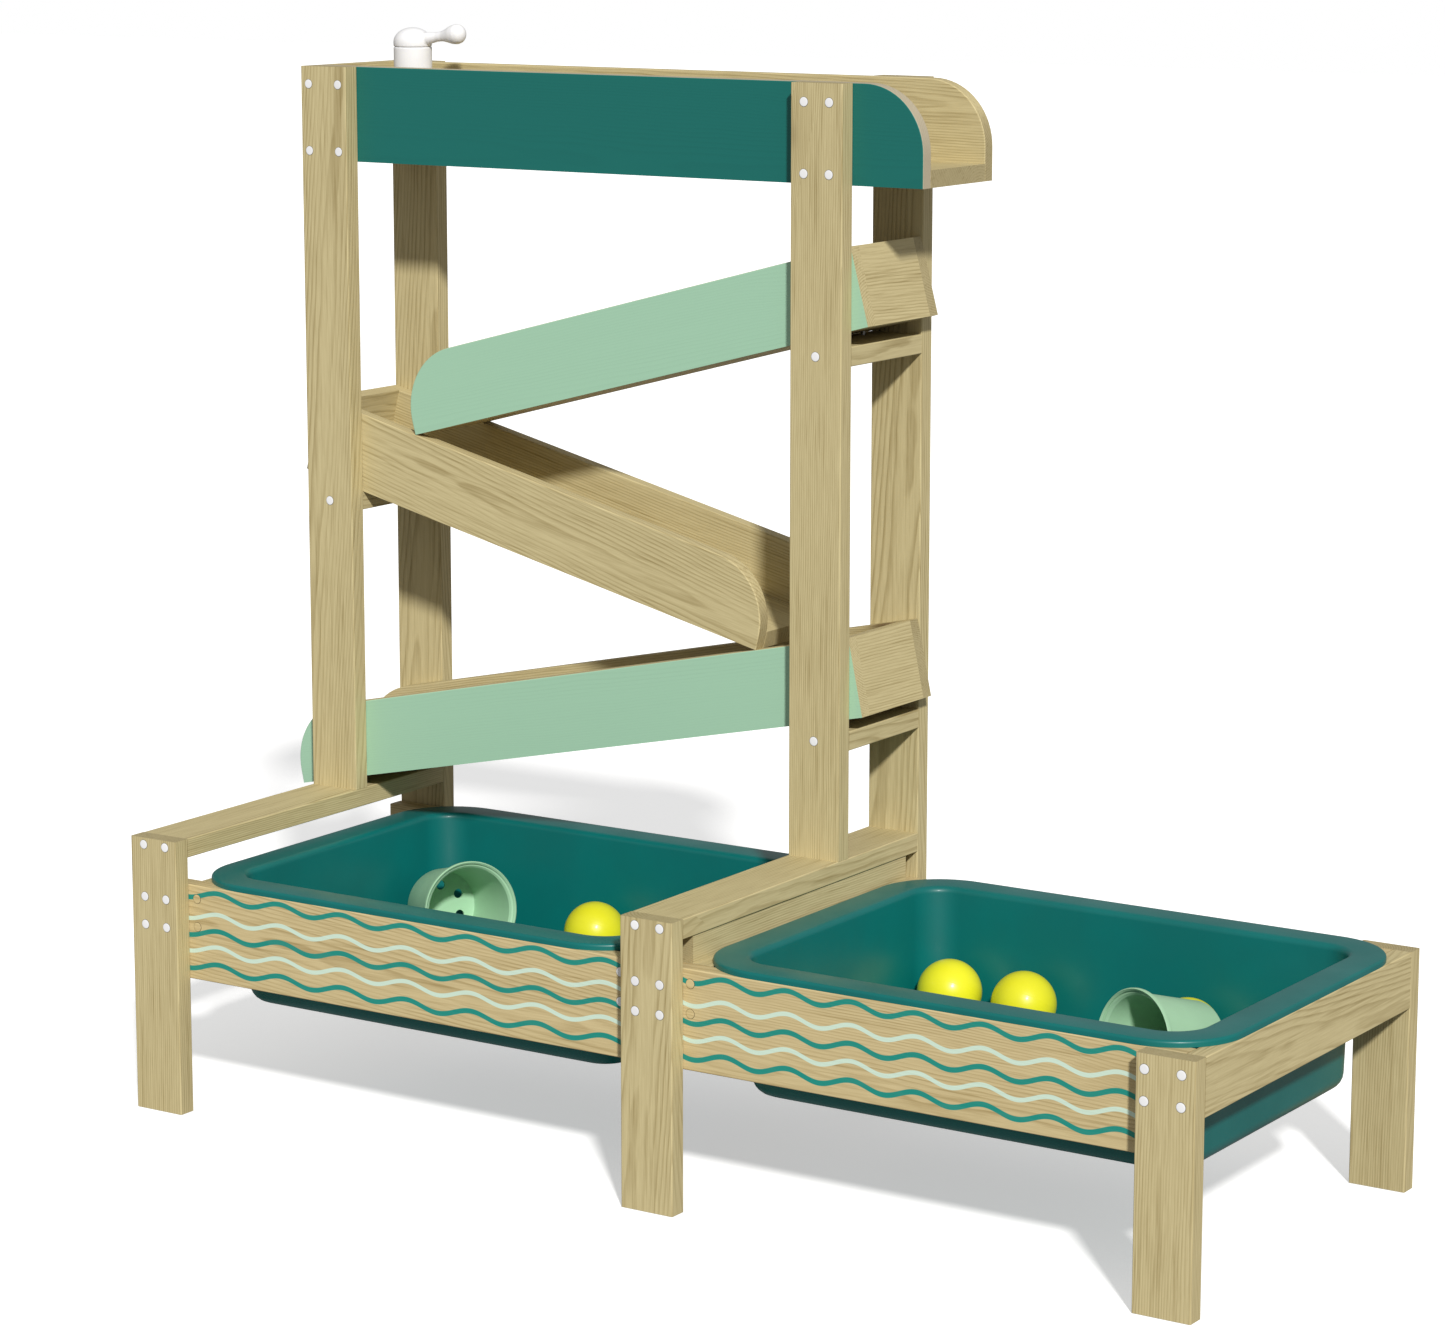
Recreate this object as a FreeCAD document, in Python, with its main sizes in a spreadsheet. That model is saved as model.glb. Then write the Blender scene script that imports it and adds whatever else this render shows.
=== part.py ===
import FreeCAD, Part
import math
import os

import Sketcher

# Wave slide: a low timber frame in two bays, each holding a play tub, with a
# tower over the left bay that carries a tap trough and three zig-zag ramps.
# Millimetres, +Z up, +X along the frame to the right, +Y from front to rear.
# The origin is on the floor, under the middle of the whole piece.

Vector = FreeCAD.Vector
X_AXIS = Vector(1, 0, 0)
Y_AXIS = Vector(0, 1, 0)
Z_AXIS = Vector(0, 0, 1)

SIZES = [
    ("stock_width", 58.0, "wide face of the planed timber used for legs, posts and rails"),
    ("stock_thick", 19.4, "thickness of that timber"),
    ("edge_round", 1.2, "eased long edges of the timber"),
    ("frame_depth", 464.0, "front leg faces to rear leg faces"),
    ("rail_top", 282.6, "tall legs and the top of the cross rails"),
    ("panel_top", 236.0, "short legs and the top of the panels"),
    ("panel_height", 97.6, "height of the long panels at the front"),
    ("bearer_height", 55.0, "height of the tub bearers, the right end board and the rear panels"),
    ("bearer_gap", 0.8, "left bearer clear of the left leg"),
    ("bearer_setback", 3.3, "left bay's right bearer clear of the middle leg"),
    ("divider_height", 82.0, "height of the board that holds the middle rail up"),
    ("divider_setback", 2.0, "divider set back from the middle rail's right side"),
    ("tower_top", 1039.6, "top of the tower posts"),
    ("bay_width", 132.6, "clear depth between the front and rear tower posts"),
    ("board_thick", 15.0, "thickness of the trough and ramp side boards"),
    ("floor_thick", 17.0, "thickness of the trough and ramp floors"),
    ("board_corner", 65.0, "radius of the rounded end of each side board"),
    ("trough_height", 97.6, "height of the trough's side boards"),
    ("trough_reach", 78.0, "trough past the right tower post"),
    ("ramp_height", 79.0, "height of the ramps' side boards"),
    ("ramp_setback", 2.0, "ramp's upper corner short of the post's outer side"),
    ("lower_ramp_reach", 29.5, "lower ramp past the left rail's edge, along the slope"),
    ("lower_batten_top", 409.9, "top of the batten under the lower ramp"),
    ("batten_pitch", 188.9, "from one batten to the next"),
    ("middle_angle", 13.7, "slope of the middle ramp in degrees"),
    ("upper_angle", 14.8, "slope of the upper ramp in degrees"),
    ("rim_length", 540.2, "length of a tub over its rim; the frame is made round two of them"),
    ("rim_side_gap", 0.4, "tub rim clear of the middle rail, and of the frame's right end"),
    ("left_tub_x", 50.0, "left edge of the left tub's rim"),
    ("left_tub_gap", 7.8, "left tub's rim clear of the middle leg"),
    ("rim_face_gap", 0.6, "tub rim clear of the planes of the legs, front and rear"),
    ("rest_gap", 0.3, "under a tub's rim, and under what lies in a tub"),
    ("rim_width", 33.0, "tub rim from its outer edge to the wall"),
    ("rim_height", 6.0, "depth of the rim's turned-down lip"),
    ("rim_corner", 70.0, "corner radius of the rim"),
    ("wall_corner", 45.0, "corner radius of the tub's wall"),
    ("tub_depth", 131.5, "rim's top to the underside of the tub"),
    ("tub_wall", 3.0, "thickness of the tub's plastic"),
    ("tub_draft", 1.5, "slope of the tub's wall in degrees"),
    ("tub_heel", 16.0, "radius where the tub's wall meets its bottom"),
    ("screw_shank", 5.0, "diameter of a screw's shank"),
    ("screw_reach", 26.0, "length of a screw under its head"),
    ("screw_head", 9.0, "diameter of a screw's head"),
    ("screw_head_height", 3.6, "height of a screw's head"),
    ("sink_depth", 7.0, "depth of the counterbore for head and cap"),
    ("cap_width", 9.7, "diameter of a cover cap"),
    ("cap_dome", 0.5, "height of a cap's crown"),
    ("drill_clearance", 0.05, "a drilled hole's radius over what goes in it"),
    ("rail_screw_drop", 7.0, "rail screws under the rail's top"),
    ("upper_screw_z", 222.0, "upper row of panel screws"),
    ("lower_screw_z", 193.2, "lower row of panel screws"),
    ("screw_left", 16.8, "left column of screws from a leg's left side"),
    ("screw_right", 44.4, "right column of screws from a leg's left side"),
    ("corner_screw", 8.5, "left column of screws in the short legs"),
    ("left_post_screw", 10.0, "trough screws from either side of a left post"),
    ("right_post_screw", 14.8, "trough screws from either side of a right post"),
    ("trough_screw_top", 18.2, "upper trough screws under the tower's top"),
    ("trough_screw_bottom", 11.0, "lower trough screws over the trough's underside"),
    ("ramp_screw_inset", 12.0, "ramp screws from the batten's inner edge"),
    ("ramp_screw_spread", 60.0, "between a batten's two ramp screws"),
    ("tap_x", 80.0, "tap's axis from the left side of the frame"),
    ("tap_width", 40.0, "diameter of the tap's barrel"),
    ("tap_barrel_top", 1058.0, "where the tap's barrel ends and its handle begins"),
    ("tap_foot", 5.0, "tap's foot past its barrel, all round"),
    ("tap_foot_height", 4.0, "thickness of that foot's edge"),
    ("tap_dome", 20.0, "height of the handle's dome over the barrel"),
    ("dome_shoulder", 7.0, "straight side of the dome"),
    ("dome_gap", 0.3, "dome clear of the barrel"),
    ("tap_lever", 57.5, "tap's axis to the middle of the lever's knob"),
    ("tap_lever_width", 9.2, "diameter of the lever"),
    ("tap_lever_height", 9.0, "lever's root over the barrel"),
    ("tap_lever_rise", 6.0, "slope of the lever in degrees"),
    ("tap_knob", 21.0, "diameter of the lever's knob"),
    ("spout_width", 18.0, "diameter of the tap's spout"),
    ("spout_bore", 12.0, "diameter of the bore through the spout"),
    ("spout_reach", 46.0, "tap's axis to the spout's mouth"),
    ("spout_height", 40.0, "spout's root over the trough's floor"),
    ("spout_fall", 6.0, "fall of the spout in degrees"),
    ("tap_shank", 20.0, "diameter of the shank through the trough's floor"),
    ("tap_gap", 0.05, "running clearance round the tap's spindle"),
    ("spindle_width", 16.0, "bore of the tap's barrel, for the spindle"),
    ("spindle_bore", 30.0, "depth of that bore"),
    ("spindle_length", 26.0, "spindle under the barrel's top"),
    ("spindle_neck", 6.0, "its neck under the barrel's top"),
    ("spindle_neck_width", 10.0, "diameter of the neck"),
    ("spindle_socket", 4.0, "neck's reach into the handle"),
    ("tap_washer_width", 34.0, "diameter of the washer under the trough's floor"),
    ("tap_washer_thick", 1.5, "thickness of that washer"),
    ("tap_nut_width", 34.0, "tap's nut over its corners"),
    ("tap_nut_height", 6.5, "height of that nut"),
    ("nut_recess", 38.0, "diameter of the seat sunk for nut and washer under the floor"),
    ("nut_inset", 0.5, "nut's depth inside that seat"),
    ("cup_mouth", 104.0, "diameter of a cup's lip"),
    ("cup_base", 80.0, "diameter of a cup's bottom"),
    ("cup_length", 82.0, "lip to bottom of a cup"),
    ("cup_wall", 2.5, "thickness of a cup"),
    ("cup_chamfer", 3.0, "bevel round a cup's bottom"),
    ("cup_lip", 3.0, "lip past a cup's side"),
    ("cup_lip_height", 6.0, "height of the lip"),
    ("sieve_hole", 10.0, "diameter of a hole in the sieve cup's bottom"),
    ("sieve_ring", 44.8, "diameter of the ring of holes"),
    ("ball_width", 65.0, "diameter of a play ball"),
    ("ball_gap", 2.0, "balls clear of a tub's rear wall"),
    ("corner_gap", 10.0, "first ball clear of the right tub's left wall"),
    ("ball_spread", 19.0, "second ball clear of the first"),
    ("left_ball_inset", 10.0, "left ball to the left of the left tub's middle"),
    ("right_ball_offset", 75.0, "right ball to the right of the right tub's middle"),
    ("sieve_cup_inset", 35.0, "sieve cup's bottom from the left tub's left wall"),
    ("sieve_cup_setback", 54.0, "sieve cup's bottom from the left tub's rear wall"),
    ("sieve_cup_turn", -30.0, "where the sieve cup's mouth points, in degrees from +X"),
    ("scoop_cup_inset", 116.7, "scoop cup's bottom from the right tub's right wall"),
    ("scoop_cup_gap", 22.5, "scoop cup's bottom in front of the right ball"),
    ("scoop_cup_turn", -112.0, "where the scoop cup's mouth points, in degrees from +X"),
]

# Sizes and places worked out from the cells above, and used by several pieces.
LAYOUT = [
    ("middle_leg_x", "Sizes.left_tub_x + Sizes.rim_length + Sizes.left_tub_gap"),
    ("middle_right", "Layout.middle_leg_x + Sizes.stock_width"),
    ("frame_length", "Layout.middle_right + Sizes.rim_length + 2 * Sizes.rim_side_gap"),
    ("rear_face", "Sizes.frame_depth - Sizes.stock_thick"),
    ("panel_back", "2 * Sizes.stock_thick"),
    ("rear_panel_face", "Layout.rear_face - Sizes.stock_thick"),
    ("bearer_length", "Layout.rear_panel_face - Layout.panel_back"),
    ("bearer_bottom", "Sizes.panel_top - Sizes.bearer_height"),
    ("panel_bottom", "Sizes.panel_top - Sizes.panel_height"),
    ("panel_joint", "Layout.middle_leg_x + Sizes.stock_width / 2"),
    ("right_leg_x", "Layout.frame_length - Sizes.stock_width"),
    ("end_board_x", "Layout.frame_length - Sizes.stock_thick"),
    ("left_bearer_x", "Sizes.stock_width + Sizes.bearer_gap"),
    ("inner_bearer_x", "Layout.middle_leg_x - Sizes.bearer_setback - Sizes.stock_thick"),
    ("right_bay_x", "Layout.middle_right - Sizes.divider_setback"),
    ("rail_bottom", "Sizes.rail_top - Sizes.stock_thick"),
    ("bay_front", "Layout.rear_face - Sizes.bay_width"),
    ("tower_front", "Layout.bay_front - Sizes.stock_thick"),
    ("bay_middle", "Layout.bay_front + Sizes.bay_width / 2"),
    ("channel_width", "Sizes.bay_width - 2 * Sizes.board_thick"),
    ("trough_bottom", "Sizes.tower_top - Sizes.trough_height"),
    ("trough_floor_top", "Layout.trough_bottom + Sizes.floor_thick"),
    ("trough_length", "Layout.middle_right + Sizes.trough_reach"),
    ("middle_batten_top", "Sizes.lower_batten_top + Sizes.batten_pitch"),
    ("upper_batten_top", "Sizes.lower_batten_top + 2 * Sizes.batten_pitch"),
    ("lower_slope", "(Sizes.lower_batten_top - Sizes.rail_top) / Layout.middle_leg_x"),
    ("middle_slope", "tan(Sizes.middle_angle * 1deg)"),
    ("upper_slope", "tan(Sizes.upper_angle * 1deg)"),
    ("lower_angle", "atan(Layout.lower_slope) / 1deg"),
    # The foot of each ramp is the lowest corner of its open end. The lower
    # ramp lies on the left rail, and each other ramp on the one below it.
    ("lower_foot_x", "-Sizes.lower_ramp_reach * cos(Layout.lower_angle * 1deg)"),
    ("lower_foot_z", "Sizes.rail_top - Sizes.lower_ramp_reach * sin(Layout.lower_angle * 1deg)"),
    ("lower_rise", "Sizes.ramp_height / cos(Layout.lower_angle * 1deg)"),
    ("middle_rise", "Sizes.ramp_height / cos(Sizes.middle_angle * 1deg)"),
    ("middle_foot_x", "(Layout.middle_batten_top + Layout.middle_slope * Sizes.stock_width"
                      " - Sizes.rail_top - Layout.lower_rise)"
                      " / (Layout.lower_slope + Layout.middle_slope)"),
    ("middle_foot_z", "Sizes.rail_top + Layout.lower_rise + Layout.lower_slope * Layout.middle_foot_x"),
    ("upper_foot_x", "(Layout.middle_batten_top + Layout.middle_rise"
                     " + Layout.middle_slope * Sizes.stock_width - Layout.upper_batten_top"
                     " + Layout.upper_slope * Layout.middle_leg_x)"
                     " / (Layout.upper_slope + Layout.middle_slope)"),
    ("upper_foot_z", "Layout.upper_batten_top"
                     " + Layout.upper_slope * (Layout.upper_foot_x - Layout.middle_leg_x)"),
    ("ramp_end", "Layout.middle_right - Sizes.ramp_setback"),
    ("lower_length", "(Layout.ramp_end + Sizes.ramp_height * sin(Layout.lower_angle * 1deg)"
                     " - Layout.lower_foot_x) / cos(Layout.lower_angle * 1deg)"),
    ("middle_length", "(Layout.middle_foot_x - Sizes.ramp_setback"
                      " + Sizes.ramp_height * sin(Sizes.middle_angle * 1deg))"
                      " / cos(Sizes.middle_angle * 1deg)"),
    ("upper_length", "(Layout.ramp_end + Sizes.ramp_height * sin(Sizes.upper_angle * 1deg)"
                     " - Layout.upper_foot_x) / cos(Sizes.upper_angle * 1deg)"),
    ("left_reach", "Layout.lower_foot_x + Sizes.board_corner * cos(Layout.lower_angle * 1deg)"
                   " - (Sizes.ramp_height - Sizes.board_corner) * sin(Layout.lower_angle * 1deg)"
                   " - Sizes.board_corner"),
    ("centre_x", "(Layout.frame_length + Layout.left_reach) / 2"),
    ("centre_y", "Sizes.frame_depth / 2"),
    ("rim_depth", "Sizes.frame_depth - 2 * Sizes.stock_thick - 2 * Sizes.rim_face_gap"),
    ("tub_length", "Sizes.rim_length - 2 * Sizes.rim_width"),
    ("tub_breadth", "Layout.rim_depth - 2 * Sizes.rim_width"),
    ("rim_top", "Sizes.panel_top + Sizes.rest_gap + Sizes.rim_height"),
    ("left_tub_middle", "Sizes.left_tub_x + Sizes.rim_length / 2"),
    ("right_tub_middle", "Layout.middle_right + Sizes.rim_side_gap + Sizes.rim_length / 2"),
    ("tub_floor", "Layout.rim_top - Sizes.tub_depth + Sizes.tub_wall"),
    # Inside of a tub's wall at its floor, from the tub's middle.
    ("wall_lean", "(Sizes.tub_depth - Sizes.tub_wall) * tan(Sizes.tub_draft * 1deg)"),
    ("floor_half_length", "Layout.tub_length / 2 - Sizes.tub_wall - Layout.wall_lean"),
    ("floor_half_breadth", "Layout.tub_breadth / 2 - Sizes.tub_wall - Layout.wall_lean"),
    ("left_floor_start", "Layout.left_tub_middle - Layout.floor_half_length"),
    ("right_floor_start", "Layout.right_tub_middle - Layout.floor_half_length"),
    ("right_floor_end", "Layout.right_tub_middle + Layout.floor_half_length"),
    ("floor_back", "Layout.centre_y + Layout.floor_half_breadth"),
    ("ball_row", "Layout.floor_back - Sizes.ball_width / 2 - Sizes.ball_gap"),
    ("rear_ball_x", "Layout.right_floor_start + Sizes.ball_width / 2 + Sizes.corner_gap"),
    ("middle_ball_x", "Layout.rear_ball_x + Sizes.ball_width + Sizes.ball_spread"),
]

doc = FreeCAD.newDocument("wave_slide")


def make_sheet():
    """Driving dimensions, one named cell each."""
    sheet = doc.addObject("Spreadsheet::Sheet", "Sizes")
    for row, (alias, value, meaning) in enumerate(SIZES, start=1):
        sheet.set(f"A{row}", alias)
        sheet.set(f"B{row}", str(value))
        sheet.set(f"C{row}", meaning)
        sheet.setAlias(f"B{row}", alias)
    doc.recompute()
    return sheet


def make_layout():
    """Derived sizes, each bound to the sheet."""
    layout = doc.addObject("App::VarSet", "Layout")
    for name, formula in LAYOUT:
        layout.addProperty("App::PropertyFloat", name, "Layout")
        layout.setExpression(name, formula)
        doc.recompute()
    return layout


sizes = make_sheet()
layout = make_layout()
nodes = {}


def keep(label, piece):
    """Names a finished piece and lists it for export."""
    piece.Label = label
    nodes[label] = piece
    return piece


def new_body(name):
    return doc.addObject("PartDesign::Body", name)


def origin_plane(body, role):
    for feature in body.Origin.OriginFeatures:
        if feature.Role == role:
            return feature
    raise ValueError(role)


def new_sketch(body, name, role, offset=None):
    """A sketch on one of the body's own planes, moved along its normal by offset."""
    sketch = body.newObject("Sketcher::SketchObject", name)
    sketch.AttachmentSupport = [(origin_plane(body, role), "")]
    sketch.MapMode = "FlatFace"
    if offset is not None:
        sketch.setExpression(".AttachmentOffset.Base.z", offset)
    return sketch


def dimension(sketch, formula, kind, *where):
    """Adds one dimension and binds it to the sheet."""
    index = sketch.addConstraint(Sketcher.Constraint(kind, *where))
    sketch.setExpression(f"Constraints[{index}]", formula)


def pad(body, name, sketch, formula, back=False, draft=None):
    feature = body.newObject("PartDesign::Pad", name)
    feature.Profile = sketch
    feature.Reversed = back
    feature.setExpression("Length", formula)
    if draft is not None:
        feature.setExpression("TaperAngle", draft)
    doc.recompute()
    return feature


def pocket(body, name, sketch, formula, back=False, draft=None):
    """Cuts a sketch into the body, and stops if nothing was cut."""
    before = body.Shape.Volume
    feature = body.newObject("PartDesign::Pocket", name)
    feature.Profile = sketch
    feature.Reversed = back
    feature.setExpression("Length", formula)
    if draft is not None:
        feature.setExpression("TaperAngle", draft)
    doc.recompute()
    if not body.Shape.Volume < before:
        raise RuntimeError(f"{name} cuts nothing")
    return feature


def edges_where(feature, wanted):
    """Names of the feature's edges for which wanted(edge) holds."""
    edges = feature.Shape.Edges
    return [f"Edge{number}" for number, edge in enumerate(edges, start=1) if wanted(edge)]


def fillet(body, name, base, wanted, formula):
    feature = body.newObject("PartDesign::Fillet", name)
    feature.Base = (base, edges_where(base, wanted))
    feature.setExpression("Radius", formula)
    doc.recompute()
    return feature


def runs_along(axis):
    """Tests whether an edge is straight and parallel to axis."""
    def test(edge):
        if not isinstance(edge.Curve, Part.Line):
            return False
        return abs(abs(edge.Curve.Direction.dot(axis)) - 1) < 1e-6
    return test


def place(piece, x, y, z, axis=None, angle=None):
    """Puts a piece where x, y and z say, measured from the frame's front left foot."""
    if axis is not None:
        piece.Placement = FreeCAD.Placement(Vector(), FreeCAD.Rotation(axis, 1.0))
        piece.setExpression(".Placement.Rotation.Angle", f"({angle}) * 1deg")
    piece.setExpression(".Placement.Base.x", f"{x} - Layout.centre_x")
    piece.setExpression(".Placement.Base.y", f"{y} - Layout.centre_y")
    piece.setExpression(".Placement.Base.z", f"{z}")


def rectangle(sketch, width, height, mirrored=False):
    """A rectangle from the origin; mirrored runs it along -X."""
    side = -50.0 if mirrored else 50.0
    corners = [Vector(0, 0), Vector(side, 0), Vector(side, 40), Vector(0, 40)]
    lines = [Part.LineSegment(corners[i], corners[(i + 1) % 4]) for i in range(4)]
    sketch.addGeometry(lines, False)
    for i in range(4):
        sketch.addConstraint(Sketcher.Constraint("Coincident", i, 2, (i + 1) % 4, 1))
    for i, kind in enumerate(["Horizontal", "Vertical", "Horizontal", "Vertical"]):
        sketch.addConstraint(Sketcher.Constraint(kind, i))
    sketch.addConstraint(Sketcher.Constraint("Coincident", 0, 1, -1, 1))
    dimension(sketch, width, "Distance", 0, 50.0)
    dimension(sketch, height, "Distance", 1, 40.0)


def rounded_rectangle(sketch, width, height, radius):
    """A rectangle with round corners, centred on the origin."""
    x, y, r = 250.0, 200.0, 40.0
    lines = [((r - x, -y), (x - r, -y)), ((x, r - y), (x, y - r)),
             ((x - r, y), (r - x, y)), ((-x, y - r), (-x, r - y))]
    centres = [(x - r, r - y), (x - r, y - r), (r - x, y - r), (r - x, r - y)]
    shapes = [Part.LineSegment(Vector(*start), Vector(*end)) for start, end in lines]
    for quarter, centre in enumerate(centres):
        circle = Part.Circle(Vector(*centre), Z_AXIS, r)
        start = math.pi / 2 * (quarter - 1)
        shapes.append(Part.ArcOfCircle(circle, start, start + math.pi / 2))
    sketch.addGeometry(shapes, False)
    for i in range(4):
        sketch.addConstraint(Sketcher.Constraint("Tangent", i, 2, i + 4, 1))
        sketch.addConstraint(Sketcher.Constraint("Tangent", i + 4, 2, (i + 1) % 4, 1))
    for i, kind in enumerate(["Horizontal", "Vertical", "Horizontal", "Vertical"]):
        sketch.addConstraint(Sketcher.Constraint(kind, i))
    for arc in (5, 6, 7):
        sketch.addConstraint(Sketcher.Constraint("Equal", 4, arc))
    sketch.addConstraint(Sketcher.Constraint("Symmetric", 4, 3, 6, 3, -1, 1))
    dimension(sketch, radius, "Radius", 4, r)
    dimension(sketch, width, "DistanceX", 3, 1, 1, 1, 2 * x)
    dimension(sketch, height, "DistanceY", 0, 1, 2, 1, 2 * y)


def rounded_board(sketch, length, height, corner, mirrored=False):
    """A board on edge whose upper corner at the origin's end is rounded."""
    side = -1.0 if mirrored else 1.0
    long, tall, r = 300.0 * side, 90.0, 60.0
    centre = Vector(r * side, tall - r)
    if mirrored:
        arc = Part.ArcOfCircle(Part.Circle(centre, Z_AXIS, r), 0.0, math.pi / 2)
        arc_top, arc_low = 2, 1
    else:
        arc = Part.ArcOfCircle(Part.Circle(centre, Z_AXIS, r), math.pi / 2, math.pi)
        arc_top, arc_low = 1, 2
    sketch.addGeometry([
        Part.LineSegment(Vector(0, 0), Vector(long, 0)),
        Part.LineSegment(Vector(long, 0), Vector(long, tall)),
        Part.LineSegment(Vector(long, tall), Vector(r * side, tall)),
        arc,
        Part.LineSegment(Vector(0, tall - r), Vector(0, 0)),
    ], False)
    for first, second in [(0, 1), (1, 2), (4, 0)]:
        sketch.addConstraint(Sketcher.Constraint("Coincident", first, 2, second, 1))
    sketch.addConstraint(Sketcher.Constraint("Tangent", 2, 2, 3, arc_top))
    sketch.addConstraint(Sketcher.Constraint("Tangent", 3, arc_low, 4, 1))
    for i, kind in [(0, "Horizontal"), (1, "Vertical"), (2, "Horizontal"), (4, "Vertical")]:
        sketch.addConstraint(Sketcher.Constraint(kind, i))
    sketch.addConstraint(Sketcher.Constraint("Coincident", 0, 1, -1, 1))
    dimension(sketch, length, "Distance", 0, abs(long))
    dimension(sketch, height, "Distance", 1, tall)
    dimension(sketch, corner, "Radius", 3, r)


def closed_profile(sketch, points, revolved_about_x=False):
    """A closed outline of straight sides through points, each (x formula, y formula)."""
    values = [(evaluate(x), evaluate(y)) for x, y in points]
    count = len(points)
    lines = []
    for i in range(count):
        start = Vector(*values[i])
        end = Vector(*values[(i + 1) % count])
        lines.append(Part.LineSegment(start, end))
    sketch.addGeometry(lines, False)
    for i in range(count):
        sketch.addConstraint(Sketcher.Constraint("Coincident", i, 2, (i + 1) % count, 1))
    for i, (x, y) in enumerate(points):
        for kind, formula, value in (("DistanceX", x, values[i][0]), ("DistanceY", y, values[i][1])):
            if formula == "0":
                line = -2 if kind == "DistanceX" else -1
                sketch.addConstraint(Sketcher.Constraint("PointOnObject", i, 1, line))
            else:
                dimension(sketch, formula, kind, -1, 1, i, 1, value)


def evaluate(formula):
    """The number that a formula gives now."""
    result = layout.evalExpression(formula)
    return float(result.Value if hasattr(result, "Value") else result)


def timber(name, x, y, z, width, depth, height, grain):
    """A plain board of the given size with its long edges, those along grain, eased."""
    body = new_body(name)
    sketch = new_sketch(body, f"{name}_section", "XY_Plane")
    rectangle(sketch, width, depth)
    block = pad(body, f"{name}_length", sketch, height)
    fillet(body, f"{name}_edges", block, runs_along(grain), "Sizes.edge_round")
    place(body, x, y, z)
    return body


def side_board(name, length, height, mirrored=False):
    """One side of a trough or ramp, with its rounded end at the origin."""
    body = new_body(name)
    sketch = new_sketch(body, f"{name}_outline", "XZ_Plane")
    rounded_board(sketch, length, height, "Sizes.board_corner", mirrored)
    block = pad(body, f"{name}_board", sketch, "Sizes.board_thick", back=True)

    def outline(edge):
        return edge.BoundBox.YLength < 1e-6 and edge.BoundBox.ZMin > 1e-6

    fillet(body, f"{name}_edges", block, outline, "Sizes.edge_round")
    return body


def plain_board(name, start, low, length, height, mirrored=False):
    """A board between two side boards, start along the slope and low over the foot."""
    body = new_body(name)
    sketch = new_sketch(body, f"{name}_outline", "XZ_Plane")
    sign = "-" if mirrored else ""
    sketch.setExpression(".AttachmentOffset.Base.x", f"{sign}({start})")
    sketch.setExpression(".AttachmentOffset.Base.y", low)
    sketch.setExpression(".AttachmentOffset.Base.z", "-Sizes.board_thick")
    rectangle(sketch, length, height, mirrored)
    pad(body, f"{name}_board", sketch, "Layout.channel_width", back=True)
    return body


# ---------------------------------------------------------------- fasteners

def cell(name):
    return float(sizes.get(name))


def framed(x, y, z):
    """A point measured from the frame's front left foot, in the model's own frame."""
    return Vector(x - layout.centre_x, y - layout.centre_y, z)


def screw_places():
    """Every screw: where its head's face is sunk from, its direction and its cover."""
    front, rear = Y_AXIS, Y_AXIS * -1
    back = cell("frame_depth")
    places = []

    def mirrored_pair(x, z, front_face, rear_face, family, cover):
        places.append((framed(x, front_face, z), front, family, cover))
        places.append((framed(x, rear_face, z), rear, family, cover))

    rail_z = cell("rail_top") - cell("rail_screw_drop")
    rows = [cell("upper_screw_z"), cell("lower_screw_z")]
    for leg_x in (0.0, layout.middle_leg_x):
        for column in (cell("screw_left"), cell("screw_right")):
            for z in [rail_z] + rows:
                mirrored_pair(leg_x + column, z, 0.0, back, "leg_screws", "cap")
    for column in (cell("corner_screw"), cell("screw_right")):
        for z in rows:
            mirrored_pair(layout.right_leg_x + column, z, 0.0, back, "leg_screws", "cap")

    panel_face = cell("stock_thick")
    half = cell("stock_thick") / 2
    bearers = [(layout.left_bearer_x + half, "plug"), (layout.inner_bearer_x + half, "cap"),
               (layout.right_bay_x + half, "plug")]
    for x, cover in bearers:
        for z in rows:
            mirrored_pair(x, z, panel_face, back - panel_face, "bearer_screws", cover)

    tower = layout.tower_front
    trough_rows = [cell("tower_top") - cell("trough_screw_top"),
                   layout.trough_bottom + cell("trough_screw_bottom")]
    for post_x, inset in ((0.0, cell("left_post_screw")),
                          (layout.middle_leg_x, cell("right_post_screw"))):
        for column in (inset, cell("stock_width") - inset):
            for z in trough_rows:
                mirrored_pair(post_x + column, z, tower, back, "tower_screws", "cap")

    middle = cell("stock_width") / 2
    battens = [(layout.middle_leg_x, cell("lower_batten_top"), 1),
               (0.0, layout.middle_batten_top, -1),
               (layout.middle_leg_x, layout.upper_batten_top, 1)]
    for post_x, top, side in battens:
        mirrored_pair(post_x + middle, top - half, tower, back, "tower_screws", "cap")
        inner = post_x if side > 0 else cell("stock_width")
        for offset in (-cell("ramp_screw_spread") / 2, cell("ramp_screw_spread") / 2):
            start = framed(inner + side * cell("ramp_screw_inset"), layout.bay_middle + offset,
                           top - cell("stock_thick"))
            places.append((start, Z_AXIS, "ramp_screws", None))

    for post_x in (0.0, layout.middle_leg_x):
        for column in (cell("screw_left"), cell("screw_right")):
            start = framed(post_x + column, tower + half, layout.rail_bottom)
            places.append((start, Z_AXIS, "post_foot_screws", None))
    return places


def stepped_pin(start, direction, steps):
    """Round solid along direction: steps are (from, to, diameter)."""
    solid = None
    for low, high, width in steps:
        part = Part.makeCylinder(width / 2, high - low, start + direction * low, direction)
        solid = part if solid is None else solid.fuse(part)
    return solid


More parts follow.
